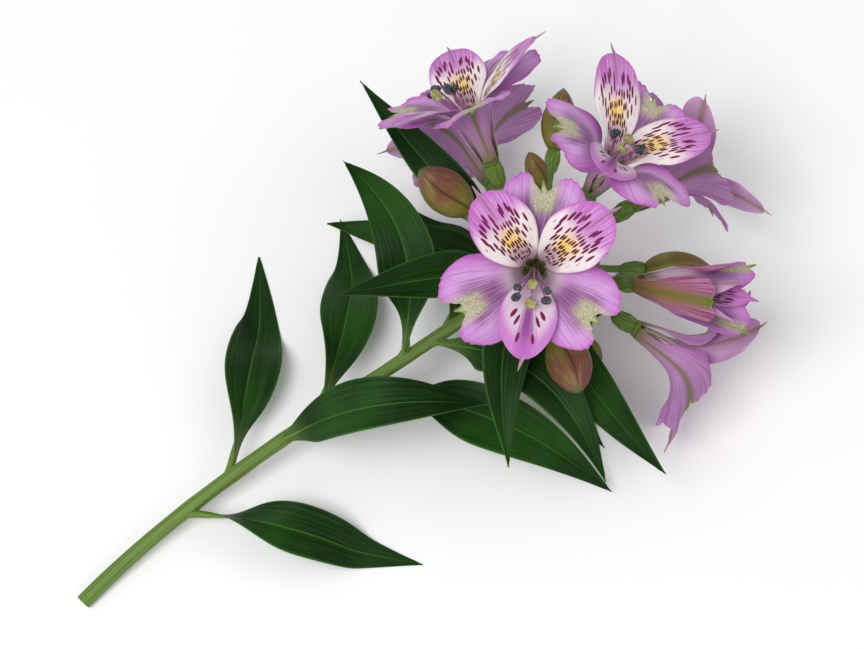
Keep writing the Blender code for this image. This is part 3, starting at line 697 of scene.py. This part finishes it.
TEPALS = {
    "neck": (0.2, 0.28, 0.34, 0.2, 0.2),  # the share of the length where it starts to widen
    "shoulder": (0.68, 0.68, 0.67, 0.74, 0.66),  # and where its end is rounded off
    "arch": ((2.4, 0.5), (2.2, 0.5), (1.9, 0.56), (2.2, 0.5), (2, 0.5)),  # how round that end is
    "needle": (0.06, 0.036, 0.036, 0.1, 0.12),  # the width of the awn
    "lean": ((13, 74, 84), (8, 56, 66), (10, 64, 76), (18, 5, 22), (9, 3, 10)),  # throat, flare and tip
    "cup": (-6, 14, 22, 0, 0),  # the bend across
    "wrap": (0, 0, 0, 1, 1),  # 1 where it stays rolled about the axis
}


def tepal_shape(i):
    """One column of the two tables, with its lengths in metres."""
    shape = SimpleNamespace(**{key: row[i] for key, row in TEPALS.items()})
    vars(shape).update({key: row[i] * MM for key, row in TEPALS_IN_MM.items()})
    return shape


OUTER, INNER_UPPER, INNER_LOWER, HALF_OUTER, HALF_INNER = (tepal_shape(i) for i in range(5))
print("an outer tepal is", OUTER.length / MM, "mm long and", 2 * OUTER.half / MM, "mm wide")


# %% The tepal
class Tepal:
    """The bloom's axis is Z and its upper side is Y. azimuth is the tepal's place round the axis."""

    def __init__(self, shape, azimuth, draw, twist=0.0):
        self.shape = shape
        self.outward = around(math.radians(azimuth + draw.uniform(-3, 3)))
        self.beside = UP.cross(self.outward)
        self.lean = [math.radians(degrees * draw.uniform(0.96, 1.04)) for degrees in shape.lean]
        self.twist = math.radians(twist + draw.uniform(-4, 4))
        self.size = draw.uniform(0.97, 1.03)
        self.phase = draw.uniform(0, 2 * math.pi)
        self.waves = draw.uniform(2.2, 3.2)
        self.hook = math.sin(self.phase) * MM
        self.step = shape.length / RIB_STEPS
        self.midrib = self.trace()

    def trace(self):
        """The radius and height of the midrib's points, to a little beyond the tip."""
        radius, height = self.shape.base, self.shape.start
        found = []
        for i in range(RIB_STEPS + RIB_BEYOND):
            found.append((radius, height))
            lean = self.lean_at(i * self.step)
            radius += math.sin(lean) * self.step
            height += math.cos(lean) * self.step
        return found

    def lean_at(self, along):
        in_tube, in_flare, at_tip = self.lean
        lean = in_tube + (in_flare - in_tube) * blend(self.shape.throat, self.shape.flared, along)
        return lean + (at_tip - in_flare) * blend(self.shape.flared, self.shape.length, along)

    def rib_at(self, along):
        place = min(max(along / self.step, 0), len(self.midrib) - 1.001)
        i = int(place)
        (r0, z0), (r1, z1) = self.midrib[i], self.midrib[i + 1]
        return r0 + (r1 - r0) * (place - i), z0 + (z1 - z0) * (place - i)

    def tooth(self, t):
        """Small uneven teeth, evenly spaced along the margin."""
        s = 2 / math.pi * math.asin(max(-1.0, min(1.0, t)))
        fast = math.sin(67 * s + self.phase) + 0.8 * math.sin(43 * s - 2 * self.phase)
        return self.shape.teeth * (fast + 0.8 * math.sin(17 * s + 3 * self.phase)) / 2

    def laid_flat(self, q, t):
        """The distance from the midrib, and along it, on the tepal laid flat."""
        shape = self.shape
        half = shape.claw + (shape.half * self.size - shape.claw) * blend(shape.neck, 1.0, q)
        power, root = shape.arch
        arc = max(0.0, 1 - abs(t) ** power) ** root
        end = shape.length * self.size * (shape.shoulder + (1 - shape.shoulder) * arc)
        tip = shape.awn * self.needle(t) - shape.notch * hump(t, NOTCH_WIDTH)
        return t * half, q * end + tip * q**5 + self.tooth(t) * blend(0.88, 1.0, q)

    def needle(self, t):
        """1 on the line of the awn, the fine point at the tip, and 0 beside it."""
        return hump(t, self.shape.needle)

    def point(self, q, t):
        shape = self.shape
        across, along = self.laid_flat(q, t)
        radius, height = self.rib_at(along)
        lean = self.lean_at(along)
        rounded = 1 - (1 - shape.wrap) * blend(0.3, 0.62, along / shape.length)
        bend = rounded / radius + (1 - rounded) * shape.cup + 1e-6
        beside = math.sin(bend * across) / bend
        inward = (1 - math.cos(bend * across)) / bend
        wave = math.sin(self.waves * math.pi * t + self.phase) * abs(t) ** 1.5
        inward += shape.ruffle * wave * blend(0.45, 1.0, q) - shape.curl * blend(0.75, 1.0, q)
        frill = math.sin(2.7 * self.waves * math.pi * t - self.phase) * t * t * blend(0.6, 1.0, q)
        inward += FRILL * shape.ruffle * frill
        inward -= CREASE * hump(t, 0.1) * blend(0.3, 0.5, q) * blend(1.0, 0.8, q)
        hooked = self.needle(t) * blend(0.9, 1.0, q)
        beside += self.hook * hooked
        inward -= AWN_HOOK * hooked
        turn = self.twist * blend(0.3, 0.9, q)
        turned = beside * math.cos(turn) - inward * math.sin(turn)
        raised = beside * math.sin(turn) + inward * math.cos(turn)
        inner_side = math.sin(lean) * UP - math.cos(lean) * self.outward
        return self.outward * radius + UP * height + self.beside * turned + inner_side * raised


print("the midrib of a tepal is traced in steps of", round(OUTER.length / RIB_STEPS / MM, 2), "mm")

# %% [markdown]
# ## The rays and their blooms
#
# Each ray leaves the crown, bends, and carries a ribbed ovary with a bloom on top. A table gives each ray's
# lean from the stem, its place round it and its reach. The blooms are made from it one by one: three outer
# tepals, three inner ones, and the stamens. A seed gives each bloom small differences of its own.

# %% The table of the umbel
OVARY_LENGTH = 9 * MM
OVARY_RADIUS = 3.2 * MM
GAP = 0.3 * MM
BUD_GAP = 0.5 * MM
RAY_RADIUS = 1.15 * MM
RAY_LEAVES_AT = 0.6
FORK_ANGLE = 44
BUD_OVARY = 0.85


def table(keys, rows):
    """Each row's numbers by their names. Lengths are in millimetres."""
    return {name: SimpleNamespace(**dict(zip(keys.split(), row))) for name, row in rows.items()}


BLOOMS = table("lean round reach roll seed", {
    "bloom_a": (94, -18, 30, 46, 11),
    "bloom_b": (47, 0, 32, 24, 12),
    "bloom_c": (6, -150, 31, 30, 13),
    "bloom_d": (80, 106, 31, 10, 14),
    "bloom_e": (68, -110, 31, 0, 19),
    "bloom_f": (78, 50, 32, 30, 17),
    "bloom_half": (60, -58, 34, 15, 21),
})
BUDS = table("lean round reach length radius", {
    "bud_1": (104, -58, 38, 26, 7.4),
    "bud_2": (102, 34, 38, 25, 7.2),
    "bud_3": (38, -112, 38, 24, 6.6),
    "bud_4": (44, 82, 42, 22, 6.0),
})
SIDE_BUDS = table("ray turn reach length radius", {
    "bud_5": ("bloom_a", 150, 20, 13, 3.6),
    "bud_6": ("bloom_b", -60, 20, 14, 3.8),
    "bud_7": ("bloom_d", 20, 18, 12, 3.4),
    "bud_8": ("bloom_e", 170, 18, 12, 3.4),
})


class Ray:
    """One ray of the umbel, from the crown to the top of its ovary."""

    def __init__(self, lean, round_stem, reach, size=1.0):
        self.size = size
        self.axis = direction(lean, round_stem)
        self.foot = CROWN + self.axis * reach
        self.leaving = direction(lean * RAY_LEAVES_AT, round_stem) * reach
        self.reach = reach
        self.top = self.foot + self.axis * OVARY_LENGTH

    def path(self, count):
        return [hermite(CROWN, self.leaving, self.foot, self.axis * self.reach, s) for s in steps(count)]


class Fork:
    """A side ray that leaves another past its middle, and carries a small bud."""

    def __init__(self, ray, turn, reach):
        coarse = ray.path(5)
        self.start = coarse[3]
        self.along = (coarse[4] - coarse[2]).normalized()
        across = self.along.cross(STEM_BESIDE).normalized()
        self.side = Matrix.Rotation(math.radians(turn), 3, self.along) @ across
        self.axis = self.way(FORK_ANGLE)
        self.reach = reach
        self.end = self.start + self.axis * reach

    def way(self, degrees):
        """The way that leaves the ray at an angle."""
        return swung(math.radians(degrees), self.along, self.side)

    def path(self, count):
        pull = self.along * self.reach
        return [hermite(self.start, pull, self.end, self.axis * self.reach, s) for s in steps(count)]


rays = {name: Ray(row.lean, row.round, row.reach * MM) for name, row in BLOOMS.items()}
bud_rays = {}
for name, row in BUDS.items():
    bud_rays[name] = Ray(row.lean, row.round, row.reach * MM - OVARY_LENGTH, BUD_OVARY)
forks = {name: Fork(rays[row.ray], row.turn, row.reach * MM) for name, row in SIDE_BUDS.items()}
print(len(rays), "rays with blooms,", len(bud_rays), "with large buds and", len(forks), "forks")

# %% The tepals of each bloom
TEPAL_THICK = 0.26 * MM
NEARLY_ONE_WAY = 0.98


def flower_place(ray, roll):
    """The frame of a bloom: its origin on the ovary, its axis Z, and its upper side Y."""
    axis = ray.axis
    guide = STEM_ABOVE if STEM_ALONG.dot(axis) > NEARLY_ONE_WAY else STEM_ALONG
    upper = (guide - guide.dot(axis) * axis).normalized()
    upper = Matrix.Rotation(math.radians(roll), 3, axis) @ upper
    turn = Matrix((upper.cross(axis), upper, axis)).transposed().to_4x4()
    return Matrix.Translation(ray.top + axis * GAP) @ turn


def on_floor(point, least=0.2 * MM, soft=3 * MM):
    """The point, eased up onto the surface where it would lie under it."""
    under = point.z - least
    if abs(under) < soft:
        under = (under + soft) ** 2 / (4 * soft)
    return Vector((point.x, point.y, least + max(under, 0)))


def whorl(name, tepals, fineness, place, materials, slot, back):
    """Tepals as sheets that face into the bloom. Each is a tepal and the material of its face."""
    bm = bmesh.new()
    columns, rows = fineness
    for tepal, face in tepals:
        sheet(bm, columns, rows, lambda q, t: on_floor(place @ tepal.point(q, t)), material=face)
    bmesh.ops.reverse_faces(bm, faces=bm.faces)
    thicken(piece(name + "_tepals", bm, materials, slot, name), TEPAL_THICK, back)


THROAT_RIM = ((-0.7, 0), (-0.5, 2.6), (0.2, 3.0), (1.1, 3.15), (1.6, 2.9), (1.7, 0))
THROAT_PIT = ((1.7, 0), (1.9, 2.1), (2.7, 2.25), (3.0, 1.9), (3.1, 0))
THROAT_HEART = ((3.1, 0), (3.2, 1.0), (4.0, 1.1), (4.2, 0))


def throat(name, place, rings):
    """The foot of a bloom: a green rim on the ovary, and olive above it. A ring is heights and radii."""
    bm = bmesh.new()
    for i, ring in enumerate(rings):
        path = [place @ (UP * height * MM) for height, _ in ring]
        tube(bm, path, [radius * MM for _, radius in ring], 24, material=min(i, 1))
    piece(name + "_throat", bm, [GREEN, THROAT], "stem_green", closed=True)


def open_bloom(name, bloom):
    draw = random.Random(bloom.seed)
    place = flower_place(rays[name], bloom.roll)
    outer = [(Tepal(OUTER, azimuth, draw), 0) for azimuth in (90, 215, 325)]
    upper = [(Tepal(INNER_UPPER, azimuth, draw, twist), 0) for azimuth, twist in ((135, 4), (45, -4))]
    lower = [(Tepal(INNER_LOWER, 270, draw), 1)]
    whorl(name + "_outer", outer, (80, 44), place, LILAC, "outer_lilac", 1)
    whorl(name + "_inner", upper + lower, (52, 40), place, SPOTTED + [SPOTTED[2]], "inner_pale_lilac", 2)
    throat(name, place, (THROAT_RIM, THROAT_PIT, THROAT_HEART))
    return place


half_row = BLOOMS.pop("bloom_half")
places = {name: open_bloom(name, bloom) for name, bloom in BLOOMS.items()}
print("dressed", len(places), "open blooms")

# %% [markdown]
# ## A bloom half open
#
# Its outer tepals still hold together as a tube and show their olive and maroon outsides. Only their tips
# have begun to turn out.

# %% The half-open bloom
def half_bloom(name, bloom):
    draw = random.Random(bloom.seed)
    place = flower_place(rays[name], bloom.roll)
    outer = [(Tepal(HALF_OUTER, azimuth, draw), 0) for azimuth in (90, 210, 330)]
    inner = [(Tepal(HALF_INNER, azimuth, draw), 0) for azimuth in (150, 30, 270)]
    whorl(name + "_outer", outer, (56, 40), place, [LILAC[0], HALF_BACK], "outer_lilac", 1)
    whorl(name + "_inner", inner, (36, 40), place, [SPOTTED[0], SPOTTED[2]], "inner_pale_lilac", 1)
    throat(name, place, (THROAT_RIM,))


half_bloom("bloom_half", half_row)
print("dressed the half-open bloom")

# %% [markdown]
# ## Stamens and style
#
# Six filaments bend down together towards the lower tepal, and each carries an anther that hangs at a slant.
# The style among them ends in a stigma of three short arms. An anther is two lobes with a groove between,
# so it starts as a small ball, is drawn out, and is pinched along one side.

# %% The stamens
ANTHER_LENGTH = 3.7 * MM
ANTHER_RADIUS = 1.35 * MM
FILAMENT_RADIUS = 0.42 * MM
STAMENS = 6
STAMEN_FOOT = 3.75 * MM
STAMEN_RING = 0.65 * MM
STAMEN_REACH = 27 * MM
STAMEN_DROP = 7.2 * MM
STAMEN_SPREAD = (4.8 * MM, 2.4 * MM)
STYLE_SHORTER = 2 * MM
ARM_LENGTH = 1.6 * MM
RIPE = (1, 4)
RIPE_SWELL = 0.3


def anther(bm, middle, way, place, material, size):
    """A small ball, drawn out along way, grooved and a little lumpy."""
    ball = bmesh.ops.create_uvsphere(bm, u_segments=18, v_segments=14, radius=size)["verts"]
    turn = way.to_track_quat("Z", "Y").to_matrix()
    for v in ball:
        x, y, z = v.co
        groove = 1 - 0.45 * hump(x, 0.22) + 0.08 * math.sin(7 * z + 3 * x)
        drawn = Vector((x * ANTHER_RADIUS, y * ANTHER_RADIUS * groove * 0.85, z * ANTHER_LENGTH / 2))
        v.co = place @ (middle + turn @ drawn)
    for face in {face for v in ball for face in v.link_faces}:
        face.material_index = material


def stigma(bm, tip, along, place):
    """Three arms that bend out from the tip of the style."""
    for k in range(3):
        side = around(2 * math.pi * k / 3)
        path = [place @ (tip + (along * s + side * s**2 * 0.9) * ARM_LENGTH) for s in steps(4)]
        tube(bm, path, [r * MM for r in (0.28, 0.26, 0.22, 0.15, 0)], 6)


def stamens(name, seed, place):
    draw = random.Random(seed)
    bm = bmesh.new()
    for i in range(STAMENS + 1):
        is_style = i == STAMENS
        turn = around(2 * math.pi * (i + 0.5) / STAMENS) * (not is_style)
        start = UP * STAMEN_FOOT + turn * STAMEN_RING
        spread = Vector((turn.x * STAMEN_SPREAD[0], turn.y * STAMEN_SPREAD[1] - STAMEN_DROP, 0))
        reach = STAMEN_REACH + draw.uniform(-1.5, 2.0) * MM - STYLE_SHORTER * is_style
        path = [start + UP * reach * s + spread * s**2 for s in steps(14)]
        radii = [FILAMENT_RADIUS * (1 - 0.35 * s) for s in steps(14)]
        tube(bm, [place @ p for p in path], radii, 8)
        if is_style:
            stigma(bm, path[-1], (path[-1] - path[-2]).normalized(), place)
            continue
        tilt = Vector((draw.uniform(-0.9, 0.9), draw.uniform(-0.9, 0.2), 0.5)).normalized()
        ripe = i in RIPE
        anther(bm, path[-1], tilt, place, 1 + ripe, 1 + RIPE_SWELL * ripe)
    piece(name + "_bundle", bm, STAMEN, "stamen_grey", name, closed=True)


for name, bloom in BLOOMS.items():
    stamens(name + "_stamens", bloom.seed, places[name])
print("set", STAMENS, "stamens in each open bloom")

# %% [markdown]
# ## Buds
#
# A closed bud is an egg of three folded tepals. It is a tube that swells and closes, with a shallow furrow
# along each seam and a low rib down the middle of each tepal, both turning slightly about the axis.

# %% The buds
BUD_OUTLINE = ((0, 0.3), (0.12, 0.66), (0.3, 0.94), (0.52, 1.0), (0.74, 0.76), (0.91, 0.36), (1, 0.0))
BUD_SUNK = 0.3 * MM


def bud_fold(q, angle):
    """1 on the flat of a tepal, less in a seam, and more on a rib."""
    seam = math.cos(3 * angle + 1.5 * q * math.pi / 3)
    return 1 - 0.07 * max(0, seam) ** 10 + 0.035 * max(0, -seam) ** 4


def swell_at(s):
    """The bud's outline as a smooth curve through its places."""
    earlier = [BUD_OUTLINE[0], *BUD_OUTLINE]
    later = [*BUD_OUTLINE[2:], BUD_OUTLINE[-1]]
    for (a, low), (b, high), before, after in zip(BUD_OUTLINE, BUD_OUTLINE[1:], earlier, later):
        if s <= b:
            rise = (high - before[1]) / (b - before[0]) * (b - a)
            fall = (after[1] - low) / (after[0] - a) * (b - a)
            return hermite(low, rise, high, fall, (s - a) / (b - a))
    return 0.0


def bud(name, start, axis, row, sides, rings):
    start = start - axis * BUD_SUNK
    length = row.length * MM + BUD_GAP + BUD_SUNK
    spine = [start + axis * length * s for s in steps(rings)]
    radii = [row.radius * MM * max(0.0, swell_at(s)) for s in steps(rings)]
    radii[0] = radii[-1] = 0
    bm = bmesh.new()
    tube(bm, spine, radii, sides, bud_fold)
    piece(name + "_skin", bm, [BUD], "bud_olive", name, closed=True)


for name, row in BUDS.items():
    bud(name, bud_rays[name].top, bud_rays[name].axis, row, 42, 36)
for name, row in SIDE_BUDS.items():
    bud(name, forks[name].end, forks[name].axis, row, 30, 26)
print("made", len(BUDS) + len(SIDE_BUDS), "buds")

# %% [markdown]
# ## Leaves
#
# A leaf is a long sheet that folds up a little from its midrib and waves at its margins. Its spine is walked
# step by step from the stem: it starts the way the leaf leaves the stem and bends towards the way its tip
# points. Where the leaf meets the surface that the stem lies on, it lies flat on it.

# %% The leaf
FOLD = 0.3
LEAF_WIDEST = 0.42
LEAF_FOOT = 1.5 * MM
LEAF_TIP = 0.3 * MM
LEAF_SOLID = 0.7 * MM
LEAF_THICK = 0.3 * MM
LEAF_STEPS = 40
LEAF_EASING = 14
GROOVE_DEPTH = 0.3 * MM


class Leaf:
    """facing is the upper side at the foot. Farther out the leaf turns its upper side to the light."""

    def __init__(self, foot, start_way, facing, tip_way, length, half, draw):
        self.half = half
        self.wave = draw.uniform(0.05, 0.1) * half
        self.phase = draw.uniform(0, 2 * math.pi)
        step = length / LEAF_STEPS
        turned_up = (UP + Vector((draw.uniform(-0.35, 0.35), draw.uniform(-0.35, 0.35), 0))).normalized()
        facing = facing * math.copysign(1, facing.z)
        point = foot.copy()
        self.spine = []
        for q in steps(LEAF_STEPS):
            way = start_way.lerp(tip_way, blend(0, 1, q)).normalized()
            if point.z < LEAF_SOLID - FOLD * half * 0.8 and way.z < 0:
                way.z = 0
                way.normalize()
            face = facing.lerp(turned_up, blend(0, 0.4, q))
            self.spine.append((point.copy(), face))
            point += way * step
        self.ease()

    def ease(self):
        """Rounds the bends of the spine, and gives each of its points a side and an upper side."""
        points, faces = ([row[k] for row in self.spine] for k in (0, 1))
        for _ in range(LEAF_EASING):
            for line in (points, faces):
                line[1:-1] = [(a + 2 * b + c) / 4 for a, b, c in zip(line, line[1:], line[2:])]
        self.spine = []
        for i, (point, face) in enumerate(zip(points, faces)):
            way = (points[min(i + 1, LEAF_STEPS)] - points[max(i - 1, 0)]).normalized()
            side = face.cross(way).normalized()
            self.spine.append((point, side, way.cross(side)))

    def half_at(self, q):
        """Half the width: a narrow foot, the widest place, and a fine point."""
        rise = math.sin(min(q / LEAF_WIDEST, 1) * math.pi / 2) ** 1.4
        fall = max(0, 1 - max(0, (q - LEAF_WIDEST) / (1 - LEAF_WIDEST)) ** 1.8) ** 1.25
        petiole = LEAF_TIP + (LEAF_FOOT - LEAF_TIP) * (1 - blend(0, 0.3, q))
        return (petiole + (self.half - LEAF_TIP) * rise * fall) * (1 - 0.8 * blend(0.97, 1, q))

    def point(self, q, t):
        place = min(q * LEAF_STEPS, LEAF_STEPS - 0.001)
        i = int(place)
        share = place - i
        (p0, s0, n0), (p1, s1, n1) = self.spine[i], self.spine[i + 1]
        half = self.half_at(q)
        spread = blend(0.05, 0.3, q)
        wave = self.wave * abs(t) * math.sin(9 * q + 2 * t + self.phase)
        groove = GROOVE_DEPTH * hump(t, 0.12) * spread
        lift = (FOLD * abs(t) * half + wave) * spread - groove
        return p0.lerp(p1, share) + s0.lerp(s1, share) * t * half + n0.lerp(n1, share) * lift


def leaf_piece(name, leaf, materials, columns=24, rows=64):
    bm = bmesh.new()
    sheet(bm, columns, rows, lambda q, t: on_floor(leaf.point(q, t), LEAF_THICK / 2), even, even)
    bmesh.ops.reverse_faces(bm, faces=bm.faces)
    thicken(piece(name + "_blade", bm, materials, "leaf_green", name), LEAF_THICK, 1)


def heading(degrees, pitch):
    """A way by its angle round the upright and its slope."""
    a, p = math.radians(degrees), math.radians(pitch)
    return Vector((math.cos(a) * math.cos(p), math.sin(a) * math.cos(p), math.sin(p)))


print("a leaf is", round(LEAF_THICK / MM, 2), "mm thick, and its spine has", LEAF_STEPS, "steps")

# %% The tables of the leaves
# lean, place round the stem, length, half width, and where the tip points: heading and slope
COLLAR = (
    (128, -34, 78, 8.8, -116, -26),
    (124, 10, 72, 8.4, 160, 6),
    (100, 74, 84, 8.2, 96, 24),
    (118, 112, 76, 8.4, 130, -6),
    (110, 150, 60, 7.6, 46, -30),
    (100, -168, 56, 7.0, -18, -26),
    (116, -126, 68, 8.0, -84, -34),
    (98, -86, 82, 8.2, -86, 4),
)
COLLAR_BELOW = (6 * MM, 2 * MM)
# place along the stem, place round it, spread, length, half width, heading and slope
LEAVES = (
    (0.26, -84, 48, 84, 9.4, -46, -66),
    (0.36, 92, 48, 90, 10.0, 60, -74),
    (0.46, -22, 50, 84, 9.8, -28, -30),
    (0.55, 104, 46, 88, 10.2, 70, -60),
    (0.64, -96, 44, 92, 10.6, -66, -28),
    (0.72, 36, 52, 78, 10.0, 96, -14),
    (0.78, -60, 52, 84, 9.8, -100, -24),
    (0.82, 128, 56, 72, 9.4, 100, -40),
)
BRACT_LENGTH = 24 * MM
BRACT_HALF = 2.6 * MM
BRACT_ANGLE = 72
BRACT_BELOW = 3.5 * MM
LEAF_STALK = 1.3 * MM
BRACT_STALK = 0.6 * MM
print("the broadest leaf is", round(2 * max(row[4] for row in LEAVES), 1), "mm wide")


# %% The bracts, the leaves of the stem and the whorl
def bract(split, draw):
    foot = split.start - split.along * BRACT_BELOW + split.side * (RAY_RADIUS + GAP + LEAF_SOLID)
    way = split.way(BRACT_ANGLE)
    facing = (split.along - split.along.dot(way) * way).normalized()
    return Leaf(foot, way, facing, split.way(BRACT_ANGLE - 10), BRACT_LENGTH, BRACT_HALF, draw)


def stem_leaf(row, draw):
    share, round_stem, spread, length, half, tip, pitch = row
    point, along = stem_point(share)
    above = (UP - UP.dot(along) * along).normalized()
    off = swung(math.radians(round_stem), above, above.cross(along))
    a = math.radians(spread)
    way = swung(a, along, off)
    facing = math.sin(a) * along - math.cos(a) * off
    foot = point + off * (stem_radius(share) + GAP + LEAF_SOLID)
    return point, along, Leaf(foot, way, facing, heading(tip, pitch), length * MM, half * MM, draw)


def collar_leaf(row, below, draw):
    lean, round_stem, length, half, tip, pitch = row
    way = direction(lean, round_stem)
    off = direction(90, round_stem)
    facing = (STEM_ALONG - STEM_ALONG.dot(way) * way).normalized()
    point = CROWN - STEM_ALONG * below
    foot = point + off * (CROWN_RADIUS + GAP + LEAF_SOLID)
    return point, Leaf(foot, way, facing, heading(tip, pitch), length * MM, half * MM, draw)


chance = random.Random(7)
stalks = []
for name, split in forks.items():
    made = bract(split, chance)
    leaf_piece(name.replace("bud", "bract"), made, YOUNG_LEAF, 12, 32)
    stalks.append((split.start - split.along * BRACT_BELOW, split.along, made, BRACT_STALK))
for i, row in enumerate(LEAVES, 1):
    point, along, made = stem_leaf(row, chance)
    leaf_piece(f"leaf_{i}", made, LEAF)
    stalks.append((point, along, made, LEAF_STALK))
for i, row in enumerate(COLLAR, 1):
    point, made = collar_leaf(row, COLLAR_BELOW[i % 2], chance)
    leaf_piece(f"collar_{i}", made, LEAF)
    stalks.append((point, STEM_ALONG, made, LEAF_STALK))
print("made", len(LEAVES), "leaves on the stem,", len(COLLAR), "in the whorl and", len(forks), "bracts")

# %% [markdown]
# ## The stem
#
# The stem is a long tube with eight low ribs, a little thicker where a leaf leaves it. The crown, the rays,
# the forks and the ovaries are more tubes that start inside it. An ovary has six strong ribs. Each leaf is
# joined by a short stalk that sinks into the stem.

# %% The stem, the rays and the ovaries
OVARY_OUTLINE = ((-0.08, 0.3), (0.3, 0.86), (0.64, 1.02), (0.9, 0.93), (1.0, 0.78), (1.05, 0))
NODE_SWELL = 0.05
NODE_LENGTH = 0.025
NODE_BELOW = 0.01


def ribbed(count, height):
    return lambda q, angle: 1 + height * math.cos(count * angle)


def stem_swell(share):
    """A little more than 1 just under each leaf."""
    return 1 + NODE_SWELL * sum(hump(share - row[0] + NODE_BELOW, NODE_LENGTH) for row in LEAVES)


def grow_main_stem(bm):
    shares = steps(150)
    points = [stem_point(s)[0] for s in shares]
    radii = [stem_radius(s) * stem_swell(s) for s in shares]
    tube(bm, points, radii, 32, ribbed(8, 0.035))


def grow_crown(bm):
    outline = ((-6, 0.5), (-3, 0.85), (-1, 1.0), (2, 0.98), (4, 0.7), (5, 0))
    points = [CROWN + STEM_ALONG * along * MM for along, _ in outline]
    tube(bm, points, [CROWN_RADIUS * swell for _, swell in outline], 24, ribbed(8, 0.04))


def grow_ray(bm, ray):
    radii = [RAY_RADIUS * (1.15 - 0.25 * math.sin(math.pi * s)) for s in steps(22)]
    tube(bm, ray.path(22), radii, 12, ribbed(5, 0.04))
    shares = [-0.08 + 1.13 * s for s in steps(22)]
    spine = [ray.foot + ray.axis * OVARY_LENGTH * s for s in shares]
    radii = [OVARY_RADIUS * ray.size * outline_at(OVARY_OUTLINE, s) for s in shares]
    tube(bm, spine, radii, 60, ribbed(6, 0.08))


def grow_fork(bm, split):
    radii = [RAY_RADIUS * (0.9 - 0.1 * math.sin(math.pi * s) + 0.4 * blend(0.75, 1, s)) for s in steps(16)]
    tube(bm, split.path(16), radii, 12, ribbed(5, 0.04))


def grow_stalk(bm, point, along, leaf, radius):
    """From inside the stem, up along it, and then out under the leaf as its midrib."""
    shares = (0.95, 0.8, 0.66, 0.52, 0.4, 0.3, 0.22, 0)
    under = [leaf.spine[i + 1][0] - leaf.spine[i + 1][2] * radius * s * 0.7 for i, s in enumerate(shares)]
    base = point - along * 6 * radius
    reach = (under[0] - base).length
    way = (under[1] - under[0]).normalized()
    path = [hermite(base, along * reach * 0.8, under[0], way * reach * 0.8, s) for s in steps(10)]
    swell = [1.15 - 0.2 * s for s in steps(10)]
    tube(bm, path + under[1:], [radius * s for s in (*swell, *shares[1:])], 14)


print("an ovary is", OVARY_LENGTH / MM, "mm long")

# %% [markdown]
# ## The cut
#
# The cut end shows pale pith inside a thin green skin. The tube's end there is one flat face, so its edge is
# kept sharp, and an inset makes the rim of skin.

# %% The cut, and the whole stem
SKIN = 0.35 * MM


def cut_across(bm):
    """Gives the flat end at the cut its pith and its rim of skin."""
    ends = [face for face in bm.faces if len(face.verts) > 4]
    pith = min(ends, key=lambda face: face.calc_center_median().x)
    pith.material_index = 1
    for edge in pith.edges:
        edge.smooth = False
    for face in bmesh.ops.inset_region(bm, faces=[pith], thickness=SKIN)["faces"]:
        face.material_index = 0


bm = bmesh.new()
grow_main_stem(bm)
cut_across(bm)
grow_crown(bm)
for ray in [*rays.values(), *bud_rays.values()]:
    grow_ray(bm, ray)
for split in forks.values():
    grow_fork(bm, split)
for stalk in stalks:
    grow_stalk(bm, *stalk)
for v in bm.verts:
    v.co.z = max(v.co.z, 0)
stem = piece("green_stem", bm, [GREEN, PITH], "stem_green", "stem", closed=True)
print("the stem has", len(stem.data.polygons), "faces and is", round(2 * CUT_RADIUS / MM, 1), "mm at its cut")

# %% [markdown]
# ## Floor, light and camera
#
# The stem lies on a plain pale surface under soft light from above, as a shop photographs flowers. The
# camera looks down on it, so that the first bloom faces it as in the photograph.

# %% Floor and light
FLOOR_HALF = 6
ROOM_LIGHT = 0.58
FLOWERS = Vector((50, 0, 50)) * MM


def pale_floor():
    f = Finish("pale_floor", 0.7)
    f.ground(f.noise(6), (244, 244, 245), (250, 250, 250))
    return f.finished()


bm = bmesh.new()
bmesh.ops.create_grid(bm, x_segments=1, y_segments=1, size=FLOOR_HALF)
floor = mesh_from("floor", bm, [pale_floor()])

world = bpy.data.worlds.new("soft_room")
world.use_nodes = True
sky = world.node_tree.nodes["Background"]
sky.inputs["Color"].default_value = (1, 1, 1, 1)
sky.inputs["Strength"].default_value = ROOM_LIGHT
bpy.context.scene.world = world


def lamp(name, place, size, watts):
    """A soft square light that looks at the middle of the flowers."""
    data = bpy.data.lights.new(name, "AREA")
    data.size = size
    data.energy = watts
    made = placed(name, data)
    made.location = place
    made.rotation_euler = (FLOWERS - Vector(place)).to_track_quat("-Z", "Y").to_euler()


lamp("window", (-0.5, -0.1, 1.1), 0.5, 8.2)
lamp("fill", (0.9, -0.6, 0.8), 0.9, 2)
print("two lights over the floor")

# %% The camera
AZIMUTH = math.radians(-35)
ELEVATION = math.radians(68)
VIEW_WIDTH = 0.292
TARGET = Vector((0, 0, 45)) * MM
AIM_SHIFT = 10 * MM

back = Vector((
    math.sin(AZIMUTH) * math.cos(ELEVATION), -math.cos(AZIMUTH) * math.cos(ELEVATION), math.sin(ELEVATION),
))
right = around(AZIMUTH)
above = back.cross(right)
lens = bpy.data.cameras.new("camera")
lens.lens = 85
lens.clip_start = 0.01
distance = VIEW_WIDTH / 2 / (lens.sensor_width / 2 / lens.lens)
camera = placed("camera", lens)
aim = TARGET + (right + above) * AIM_SHIFT
camera.location = aim + back * distance
camera.rotation_mode = "QUATERNION"
camera.rotation_quaternion = (-back).to_track_quat("-Z", "Y")
bpy.context.scene.camera = camera
bpy.context.scene.view_settings.view_transform = "Standard"
print("the camera stands", round(distance, 2), "m away")

# %% [markdown]
# ## The size
#
# The dressed stem has to keep the size of the solid one.
